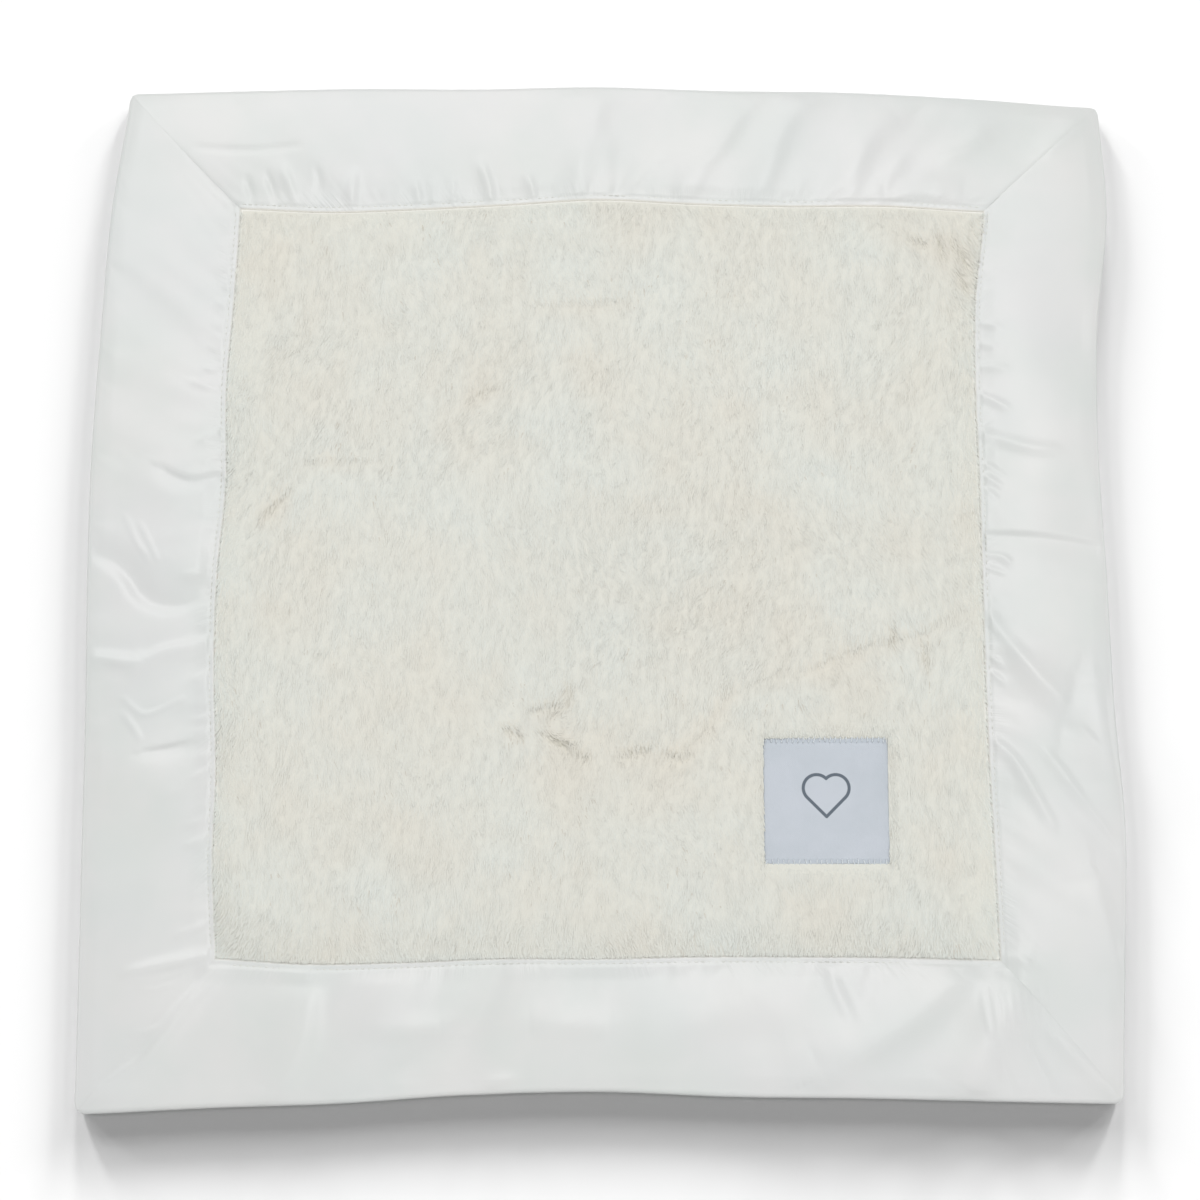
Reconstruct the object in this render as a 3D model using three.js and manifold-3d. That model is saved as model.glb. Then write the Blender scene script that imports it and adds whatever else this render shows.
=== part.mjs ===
// Comfort blanket: a square of cream plush with a satin binding mitred at the corners, a satin backing and a
// woven label. It lies flat with its front up. Millimetres, +Z up, +Y towards the top edge.

import * as THREE from 'three';
import { mergeVertices } from 'three/addons/utils/BufferGeometryUtils.js';
import Module from 'manifold-3d';

const wasm = await Module();
wasm.setup();

// Driving dimensions of the cloth
const plushSide = 300; // plush that shows, seam to seam
const bindingWidth = 50; // satin from the blanket's edge to its seam
const satinThickness = 0.5;
const backingThickness = 0.5;
const pileHeight = 9; // plush at its highest, ground and pile together
const pressedPile = 1.2; // plush where the seam's stitches hold it down
const paddedPile = 5; // plush under the binding at its fullest
const edgePile = 2.6; // plush just inside the binding's fold
const layerClearance = 0.3; // air between one layer and the next

// Driving dimensions of the seams
const threadDiameter = 0.5;
const stitchInset = 2; // topstitch line in from the binding's inner edge
const seamPress = 5; // strip that the topstitching presses flat
const seamDrop = 6; // run over which the backing comes down inside the seam
const pileRise = 16; // run over which the pile comes up inside the seam
const mitreClearance = 0.45; // air between two strips along a mitre
const mitreThreadStop = 7; // mitre thread's ends, from the outer edge and from the seam
const cornerRadius = 4;
const foldClearance = 0.6; // from the turned part of the fold to the panels inside it

// Driving dimensions of the label
const labelSide = 48;
const labelThickness = 0.6;
const labelCentreX = 87;
const labelCentreY = -88;
const labelSink = 2.6; // pocket that the label presses into the pile
const overcastLength = 3; // reach of the overcast stitches across the label's edge
const overcastOverhang = 1; // part of that reach past the label's edge
const pocketMargin = 2;
const cutOverrun = 20; // cutting blocks reach this far past what they cut

// Outline of the blanket as it lies, in shares of the binding's width, outwards positive. Each row runs left to
// right or bottom to top, from corner to corner at even steps.
const edgeWaveShares = {
  top: [0, 0.026, 0.046, 0.042, 0.06, 0.028, 0.012, -0.048, -0.12],
  right: [-0.046, 0.006, 0.05, 0.002, -0.014, -0.04, -0.01, 0.104, 0.064],
  bottom: [0.106, 0.06, 0.028, -0.034, -0.058, -0.022, -0.01, 0.014, 0.03],
  left: [-0.054, -0.04, -0.026, -0.012, 0.016, 0.022, -0.012, -0.06, -0.176],
};
const seamWaveShares = {
  top: [0.01, -0.018, 0.004, 0.044, 0.088, 0.052, 0.032, 0.034, -0.012],
  right: [0.046, 0.03, 0.01, 0, 0, 0, -0.01, 0.01, 0.1],
  bottom: [-0.05, -0.01, -0.022, -0.05, -0.05, -0.066, -0.066, -0.06, -0.04],
  left: [-0.09, -0.044, -0.048, -0.01, -0.01, -0.06, -0.04, -0.08, -0.11],
};
const stillShare = 0.5; // middle of the plush that the waves don't reach

// Lines along the border, in shares of its width from the outer edge, and how full the padding is at each, from
// its thickness at the nearer edge up to paddedPile
const borderLineShares = [0.16, 0.36, 0.64, 0.84];
const paddingShares = [0.7, 1, 0.76, 0.2];

// Soft folds of the satin, from one point to another in shares of the blanket's half side
const satinFolds = [
  { fromShares: [-0.97, 0.03], toShares: [-0.81, -0.08], heightShare: 0.34 },
  { fromShares: [-0.9, -0.18], toShares: [-0.79, -0.13], heightShare: 0.3 },
  { fromShares: [-0.92, -0.37], toShares: [-0.8, -0.35], heightShare: 0.32 },
  { fromShares: [-0.9, -0.72], toShares: [-0.8, -0.76], heightShare: 0.38 },
  { fromShares: [-0.86, 0.22], toShares: [-0.8, 0.16], heightShare: 0.22 },
  { fromShares: [0.79, -0.05], toShares: [0.9, -0.22], heightShare: 0.36 },
  { fromShares: [0.2, 0.82], toShares: [0.5, 0.95], heightShare: 0.26 },
  { fromShares: [0.62, -0.8], toShares: [0.84, -0.94], heightShare: 0.36 },
];
const satinFoldReach = 9; // from a fold's crest to its foot

// Gentle swells of the pile: centre in shares of the plush's half side, reach and height
const pileSwells = [
  { centreShares: [-0.45, 0.5], reachShare: 0.35, heightShare: 0.06 },
  { centreShares: [0.4, 0.35], reachShare: 0.3, heightShare: 0.07 },
  { centreShares: [-0.05, -0.4], reachShare: 0.22, heightShare: -0.08 },
  { centreShares: [-0.6, -0.35], reachShare: 0.3, heightShare: 0.06 },
  { centreShares: [0.72, -0.18], reachShare: 0.2, heightShare: 0.09 },
];
const panelLineShares = [0.14, 0.42, 0.7]; // grid lines over both panels, in shares of the plush's half side
const pileRiseShare = 0.62; // of the full pile, where the backing comes to rest

// Worked out from the values above
const plushHalf = plushSide / 2;
const blanketHalf = plushHalf + bindingWidth;
const threadRadius = threadDiameter / 2;
const seamLift = threadDiameter + layerClearance; // back leaf over the bobbin thread
const underPlush = satinThickness + backingThickness + 2 * layerClearance;
const edgeHeight = underPlush + edgePile + layerClearance + satinThickness;
const foldRadius = edgeHeight / 2;
const pressLine = bindingWidth - seamPress;
const panelEdge = foldRadius + foldClearance;
const innerPlushBottom = backingThickness + layerClearance;
const columnsPerStrip = 18;
const columnsPerCorner = 2;
const foldSteps = 4;
const threadSides = 6;
const threadSteps = 20;
const mitreSteps = 8;

const materials = {
  plush: { color: 0xdddccb, roughness: 0.95 },
  satin: { color: 0xe4e6e3, roughness: 0.35 },
  backing: { color: 0xe2e4e0, roughness: 0.4 },
  thread: { color: 0xe9e9e4, roughness: 0.6 },
  label: { color: 0xc6ccd3, roughness: 0.45 },
  labelThread: { color: 0xb9c3cb, roughness: 0.55 },
};

const { clamp, lerp } = THREE.MathUtils;

// Smooth value of a row of evenly spaced shares, at a place from -1 to 1 along it
function alongRow(shares, place) {
  const places = shares.map((_, i) => lerp(-1, 1, i / (shares.length - 1)));
  return new THREE.CubicInterpolant(places, shares, 1).evaluate(clamp(place, -1, 1))[0];
}

// Straight-line value between knots given as [distance, value]
function betweenKnots(knots, distance) {
  const next = knots.findIndex(([at]) => distance < at);
  if (next === 0) return knots[0][1];
  if (next < 0) return knots.at(-1)[1];
  const [fromAt, from] = knots[next - 1];
  const [toAt, to] = knots[next];
  return lerp(from, to, (distance - fromAt) / (toAt - fromAt));
}

// How far the waves carry a point of the flat pattern outwards, towards one side
function outwardShift(side, distance, across) {
  const atSeam = bindingWidth * alongRow(seamWaveShares[side], across / plushHalf);
  const atEdge = bindingWidth * alongRow(edgeWaveShares[side], across / blanketHalf);
  return betweenKnots([[plushHalf * stillShare, 0], [plushHalf, atSeam], [blanketHalf, atEdge]], distance);
}

// Rounds the pattern's square corners
function roundedCorner(x, y) {
  const start = blanketHalf - cornerRadius;
  const p = Math.max(0, (Math.abs(x) - start) / cornerRadius);
  const q = Math.max(0, (Math.abs(y) - start) / cornerRadius);
  if (p === 0 || q === 0) return [x, y];
  const roundX = start + cornerRadius * p * Math.sqrt(1 - q * q / 2);
  const roundY = start + cornerRadius * q * Math.sqrt(1 - p * p / 2);
  return [Math.sign(x) * roundX, Math.sign(y) * roundY];
}

// A point of the flat pattern, where it comes to lie
function laid(patternX, patternY, z) {
  const [x, y] = roundedCorner(patternX, patternY);
  const shiftX = outwardShift(x < 0 ? 'left' : 'right', Math.abs(x), y);
  const shiftY = outwardShift(y < 0 ? 'bottom' : 'top', Math.abs(y), x);
  return new THREE.Vector3(x + Math.sign(x) * shiftX, y + Math.sign(y) * shiftY, z);
}

// Distance of a point of the pattern from the blanket's edge
function fromEdge(x, y) {
  return blanketHalf - Math.max(Math.abs(x), Math.abs(y));
}

// Lift of the back leaf over the bobbin thread
function backLift(distance) {
  return betweenKnots([[bindingWidth * borderLineShares[3], 0], [pressLine, seamLift]], distance);
}

// Thickness of the plush under the binding
function borderPile(distance) {
  const least = [edgePile, edgePile, pressedPile, pressedPile];
  const knots = borderLineShares.map((share, i) => [
    bindingWidth * share, lerp(least[i], paddedPile, paddingShares[i])]);
  return betweenKnots([[foldRadius, edgePile], ...knots, [pressLine, pressedPile]], distance);
}

// Underside of the front leaf, without its folds
function leafUnderside(distance) {
  return backLift(distance) + underPlush + borderPile(distance) + layerClearance;
}

// Height that the satin's folds add at a point, none at the blanket's edge or the pressed seam
function foldRise(x, y) {
  const distance = fromEdge(x, y);
  const fading = [[foldRadius, 0], [bindingWidth * borderLineShares[0], 1],
    [bindingWidth * borderLineShares[2], 1], [pressLine, 0]];
  let rise = 0;
  for (const { fromShares, toShares, heightShare } of satinFolds) {
    const crest = new THREE.Line3(
      new THREE.Vector3(fromShares[0] * blanketHalf, fromShares[1] * blanketHalf, 0),
      new THREE.Vector3(toShares[0] * blanketHalf, toShares[1] * blanketHalf, 0));
    const point = new THREE.Vector3(x, y, 0);
    const away = crest.closestPointToPoint(point, true, new THREE.Vector3()).distanceTo(point);
    rise += heightShare * paddedPile * Math.exp(-((away / satinFoldReach) ** 2));
  }
  return rise * betweenKnots(fading, distance);
}

// Underside of the backing: down on the table in the middle, over the back leaf in the border
function backingUnderside(distance) {
  const overLeaf = backLift(distance) + satinThickness + layerClearance;
  const start = bindingWidth + layerClearance;
  return betweenKnots([[start, overLeaf], [bindingWidth + seamDrop, 0]], distance);
}

// Top of the pile inside the seam, or of the plush under the binding
function plushTop(x, y) {
  const distance = fromEdge(x, y);
  if (distance <= bindingWidth) return leafUnderside(distance) - layerClearance;
  const fullPile = innerPlushBottom + pileHeight;
  const held = leafUnderside(bindingWidth) - layerClearance;
  const swell = pileSwells.reduce((sum, { centreShares, reachShare, heightShare }) => {
    const away = Math.hypot(x - centreShares[0] * plushHalf, y - centreShares[1] * plushHalf);
    return sum + heightShare * pileHeight * Math.exp(-((away / (reachShare * plushHalf)) ** 2));
  }, 0);
  const edges = [[bindingWidth + layerClearance, 0], [bindingWidth + seamDrop, pileRiseShare],
    [bindingWidth + pileRise, 1]];
  return lerp(held, fullPile + swell, betweenKnots(edges, distance));
}

// Two matching grids of points joined round their rim into one closed body, the first facing up. Each square of
// the grid is split along the line that runs towards the nearest corner of the blanket.
function closedSheet(upper, lower) {
  const rows = upper.length;
  const columns = upper[0].length;
  const positions = [...upper.flat(), ...lower.flat()].flatMap((point) => point.toArray());
  const indices = [];
  const at = (i, j) => i * columns + j;
  const below = (index) => index + rows * columns;
  for (let i = 0; i < rows - 1; i++) {
    for (let j = 0; j < columns - 1; j++) {
      const [a, b, c, d] = [at(i, j), at(i, j + 1), at(i + 1, j + 1), at(i + 1, j)];
      const rising = (2 * i + 1 < rows - 1) === (2 * j + 1 < columns - 1);
      const halves = rising ? [[a, b, c], [a, c, d]] : [[a, b, d], [b, c, d]];
      for (const [p, q, r] of halves) indices.push(p, q, r, below(p), below(r), below(q));
    }
  }
  const rim = [];
  for (let j = 0; j < columns - 1; j++) rim.push(at(0, j));
  for (let i = 0; i < rows - 1; i++) rim.push(at(i, columns - 1));
  for (let j = columns - 1; j > 0; j--) rim.push(at(rows - 1, j));
  for (let i = rows - 1; i > 0; i--) rim.push(at(i, 0));
  rim.forEach((p, n) => {
    const q = rim[(n + 1) % rim.length];
    indices.push(p, below(p), q, q, below(p), below(q));
  });
  const geometry = new THREE.BufferGeometry();
  geometry.setAttribute('position', new THREE.Float32BufferAttribute(positions, 3));
  geometry.setIndex(indices);
  return geometry;
}

// The grid's lines over a square panel, with some at these distances from the blanket's edge
function panelLines(distances) {
  const inner = panelLineShares.map((share) => share * plushHalf);
  const right = [...inner, ...distances.map((distance) => blanketHalf - distance)].sort((a, b) => a - b);
  return [...right.map((x) => -x).reverse(), ...right];
}

function panelGrid(lines, height) {
  return lines.map((y) => lines.map((x) => laid(x, y, height(x, y))));
}

// Distances from the edge that both panels need lines at, so that one layer clears the next
const seamLines = [panelEdge, bindingWidth * borderLineShares[3], pressLine,
  bindingWidth + layerClearance, bindingWidth + seamDrop, bindingWidth + pileRise];

function plushGeometry() {
  const padded = bindingWidth * borderLineShares[1];
  const lines = panelLines([...seamLines, padded]);
  const underside = (x, y) => backingUnderside(fromEdge(x, y)) + backingThickness + layerClearance;
  const trough = threadDiameter + layerClearance; // room for the mitre threads along the corners' lines
  const top = (x, y) => {
    const beside = Math.abs(Math.abs(x) - Math.abs(y));
    const onMitre = beside < threadRadius && fromEdge(x, y) < pressLine + threadRadius;
    return plushTop(x, y) - (onMitre ? trough : 0);
  };
  return cutFromSheet(closedSheet(panelGrid(lines, top), panelGrid(lines, underside)), labelPocket());
}

function backingGeometry() {
  const lines = panelLines(seamLines);
  const underside = (x, y) => backingUnderside(fromEdge(x, y));
  const top = (x, y) => underside(x, y) + backingThickness;
  return closedSheet(panelGrid(lines, top), panelGrid(lines, underside));
}

function toSolid(geometry) {
  const bare = geometry.clone();
  bare.deleteAttribute('normal');
  bare.deleteAttribute('uv');
  const merged = mergeVertices(bare);
  return new wasm.Manifold(new wasm.Mesh({
    numProp: 3,
    vertProperties: new Float32Array(merged.attributes.position.array),
    triVerts: new Uint32Array(merged.index.array),
  }));
}

function cutFromSheet(sheet, tool) {
  const cut = toSolid(sheet).subtract(toSolid(tool)).getMesh();
  const geometry = new THREE.BufferGeometry();
  geometry.setAttribute('position', new THREE.Float32BufferAttribute(cut.vertProperties, cut.numProp));
  geometry.setIndex([...cut.triVerts]);
  return geometry;
}

const labelFloor = plushTop(labelCentreX, labelCentreY) - labelSink;
const labelTop = labelFloor + layerClearance + labelThickness;

// Block that presses the label's place into the pile
function labelPocket() {
  const width = labelSide + 2 * pocketMargin;
  const length = labelSide + 2 * (overcastOverhang + pocketMargin);
  const block = new THREE.BoxGeometry(width, length, cutOverrun);
  return block.translate(labelCentreX, labelCentreY, labelFloor + cutOverrun / 2);
}

// Section of a binding as [distance from the edge, outer height, inner distance, inner height], from the front
// leaf's inner edge round the fold to the back leaf's
function bindingSection() {
  const border = borderLineShares.map((share) => bindingWidth * share);
  const front = [bindingWidth, pressLine, ...border.toReversed()].map((distance) => ({
    outer: [distance, leafUnderside(distance) + satinThickness],
    inner: [distance, leafUnderside(distance)],
    folds: true,
  }));
  const turned = Array.from({ length: foldSteps + 1 }, (_, i) => {
    const angle = Math.PI * (0.5 + i / foldSteps);
    const point = (radius) => [foldRadius + radius * Math.cos(angle), foldRadius + radius * Math.sin(angle)];
    return { outer: point(foldRadius), inner: point(foldRadius - satinThickness), folds: false };
  });
  const back = [border[3], pressLine, bindingWidth].map((distance) => ({
    outer: [distance, backLift(distance)],
    inner: [distance, backLift(distance) + satinThickness],
    folds: false,
  }));
  return [...front, ...turned, ...back];
}

// Places along a strip, from -1 to 1, with more of them where the corners round
function stripPlaces() {
  const corner = cornerRadius / blanketHalf;
  const last = 1 - corner;
  const middle = Array.from({ length: columnsPerStrip + 1 }, (_, i) => lerp(-last, last, i / columnsPerStrip));
  const ends = Array.from({ length: columnsPerCorner }, (_, i) => 1 - corner * i / columnsPerCorner);
  return [...ends.map((place) => -place), ...middle, ...ends.toReversed()];
}

// One strip, for the side whose pattern direction turns the top edge's by the given quarter turns
function bindingGeometry(quarterTurns) {
  const turn = (x, y) => {
    const spun = new THREE.Vector2(x, y).rotateAround(new THREE.Vector2(), quarterTurns * Math.PI / 2);
    return [spun.x, spun.y];
  };
  const places = stripPlaces();
  const grid = (leaf) => bindingSection().map((knot) => places.map((place) => {
    const [distance, height] = knot[leaf];
    const mitre = blanketHalf - distance - mitreClearance / Math.SQRT2;
    const [x, y] = turn(place * mitre, blanketHalf - distance);
    return laid(x, y, height + (knot.folds ? foldRise(x, y) : 0));
  }));
  return closedSheet(grid('outer'), grid('inner'));
}

// Round thread along a path
function threadGeometry(points, steps) {
  const section = new THREE.Shape().absarc(0, 0, threadRadius, 0, 2 * Math.PI);
  const path = new THREE.CatmullRomCurve3(points);
  return new THREE.ExtrudeGeometry(section, { steps, curveSegments: threadSides / 2, extrudePath: path });
}

// Straight run of stitching along one side's seam, at a height
function seamThread(quarterTurns, height) {
  const line = plushHalf + stitchInset;
  const end = line - threadDiameter - layerClearance;
  const centre = new THREE.Vector2();
  const points = Array.from({ length: threadSteps + 1 }, (_, i) => {
    const along = lerp(-end, end, i / threadSteps);
    const spot = new THREE.Vector2(along, line).rotateAround(centre, quarterTurns * Math.PI / 2);
    return laid(spot.x, spot.y, height);
  });
  return threadGeometry(points, threadSteps);
}

// Thread of one corner's mitre seam, just under the satin
function mitreThread(signX, signY) {
  const distances = [mitreThreadStop, ...borderLineShares.slice(1, 3).map((share) => bindingWidth * share),
    bindingWidth - mitreThreadStop];
  const points = distances.map((distance) => {
    const reach = blanketHalf - distance;
    return laid(signX * reach, signY * reach, leafUnderside(distance) - layerClearance - threadRadius);
  });
  return threadGeometry(points, mitreSteps);
}

// Overcast stitching across the label's top or bottom edge
function overcastGeometry(signY) {
  const bar = new THREE.BoxGeometry(labelSide, overcastLength, threadDiameter);
  const y = labelCentreY + signY * (labelSide / 2 + overcastOverhang - overcastLength / 2);
  return bar.translate(labelCentreX, y, labelTop + layerClearance + threadRadius);
}

function labelGeometry() {
  const label = new THREE.BoxGeometry(labelSide, labelSide, labelThickness);
  return label.translate(labelCentreX, labelCentreY, labelTop - labelThickness / 2);
}

const blanket = new THREE.Group();

function add(name, geometry, { color, roughness }) {
  const mesh = new THREE.Mesh(geometry, new THREE.MeshStandardMaterial({ color, roughness, metalness: 0 }));
  mesh.name = name;
  blanket.add(mesh);
}

add('fur_panel', plushGeometry(), materials.plush);
add('backing_panel', backingGeometry(), materials.backing);
['top', 'left', 'bottom', 'right'].forEach((side, quarterTurns) => {
  add(`binding_${side}`, bindingGeometry(quarterTurns), materials.satin);
  const onSatin = leafUnderside(bindingWidth) + satinThickness + layerClearance + threadRadius;
  add(`topstitch_${side}`, seamThread(quarterTurns, onSatin), materials.thread);
  add(`bobbin_thread_${side}`, seamThread(quarterTurns, threadRadius), materials.thread);
});
for (const [end, signY] of [['top', 1], ['bottom', -1]]) {
  for (const [side, signX] of [['left', -1], ['right', 1]]) {
    add(`mitre_thread_${end}_${side}`, mitreThread(signX, signY), materials.thread);
  }
  add(`label_stitch_${end}`, overcastGeometry(signY), materials.labelThread);
}
add('label', labelGeometry(), materials.label);

// The origin is under the middle of the blanket's outline
const outline = new THREE.Box3().setFromObject(blanket);
const middle = outline.getCenter(new THREE.Vector3());
blanket.position.set(-middle.x, -middle.y, -outline.min.z);

const part = new THREE.Group();
part.add(blanket);

export default part;
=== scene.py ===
# Comfort blanket: cream plush in a mitred satin binding, lying flat on a pale floor, seen from above.

import math

import bmesh
import bpy
import numpy as np
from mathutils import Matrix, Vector, noise


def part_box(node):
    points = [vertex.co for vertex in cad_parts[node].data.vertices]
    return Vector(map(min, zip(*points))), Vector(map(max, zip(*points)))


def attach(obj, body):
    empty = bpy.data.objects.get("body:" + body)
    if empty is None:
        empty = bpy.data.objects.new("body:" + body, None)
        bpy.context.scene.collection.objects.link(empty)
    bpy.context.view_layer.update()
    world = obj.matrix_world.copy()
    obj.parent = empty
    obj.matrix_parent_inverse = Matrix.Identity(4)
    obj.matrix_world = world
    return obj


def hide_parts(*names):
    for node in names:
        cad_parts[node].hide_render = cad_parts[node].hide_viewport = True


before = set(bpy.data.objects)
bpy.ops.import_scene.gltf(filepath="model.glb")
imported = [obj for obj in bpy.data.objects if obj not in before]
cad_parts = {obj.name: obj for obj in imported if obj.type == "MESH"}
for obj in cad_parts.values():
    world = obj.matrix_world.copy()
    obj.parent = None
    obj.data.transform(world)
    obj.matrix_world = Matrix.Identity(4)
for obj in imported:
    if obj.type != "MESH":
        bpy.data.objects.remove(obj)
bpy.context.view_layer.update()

MM = 0.001
scene = bpy.context.scene

# The blanket's pattern, in millimetres
PLUSH_HALF = 150.0
BINDING = 50.0
BLANKET_HALF = PLUSH_HALF + BINDING
STITCH_INSET = 2.0
CORNER_RADIUS = 4.0
STILL_SHARE = 0.5
LABEL_CENTRE = (87.0, -88.0)

# Outline as the blanket lies, in shares of the binding's width, outwards positive, from corner to corner
EDGE_WAVE_SHARES = {
    "top": [0, 0.026, 0.046, 0.042, 0.06, 0.028, 0.012, -0.048, -0.12],
    "right": [-0.046, 0.006, 0.05, 0.002, -0.014, -0.04, -0.01, 0.104, 0.064],
    "bottom": [0.106, 0.06, 0.028, -0.034, -0.058, -0.022, -0.01, 0.014, 0.03],
    "left": [-0.054, -0.04, -0.026, -0.012, 0.016, 0.022, -0.012, -0.06, -0.176],
}
SEAM_WAVE_SHARES = {
    "top": [0.01, -0.018, 0.004, 0.044, 0.088, 0.052, 0.032, 0.034, -0.012],
    "right": [0.046, 0.03, 0.01, 0, 0, 0, -0.01, 0.01, 0.1],
    "bottom": [-0.05, -0.01, -0.022, -0.05, -0.05, -0.066, -0.066, -0.06, -0.04],
    "left": [-0.09, -0.044, -0.048, -0.01, -0.01, -0.06, -0.04, -0.08, -0.11],
}
SIDES = ("top", "left", "bottom", "right")

# Heights above the floor along a section of the border, as (distance from the blanket's edge, height)
FRONT_HEIGHTS = ((2.5, 5.0), (5.5, 5.5), (11.0, 5.8), (20.0, 6.0), (30.0, 5.85), (38.0, 5.35), (43.0, 4.85),
                 (47.0, 4.4), (50.0, 4.2))
BACK_HEIGHTS = ((2.5, 0.0), (34.0, 0.0), (44.0, 0.7), (50.0, 0.8))
FOLD_RADIUS = 2.5
SATIN_THICKNESS = 0.25

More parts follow.
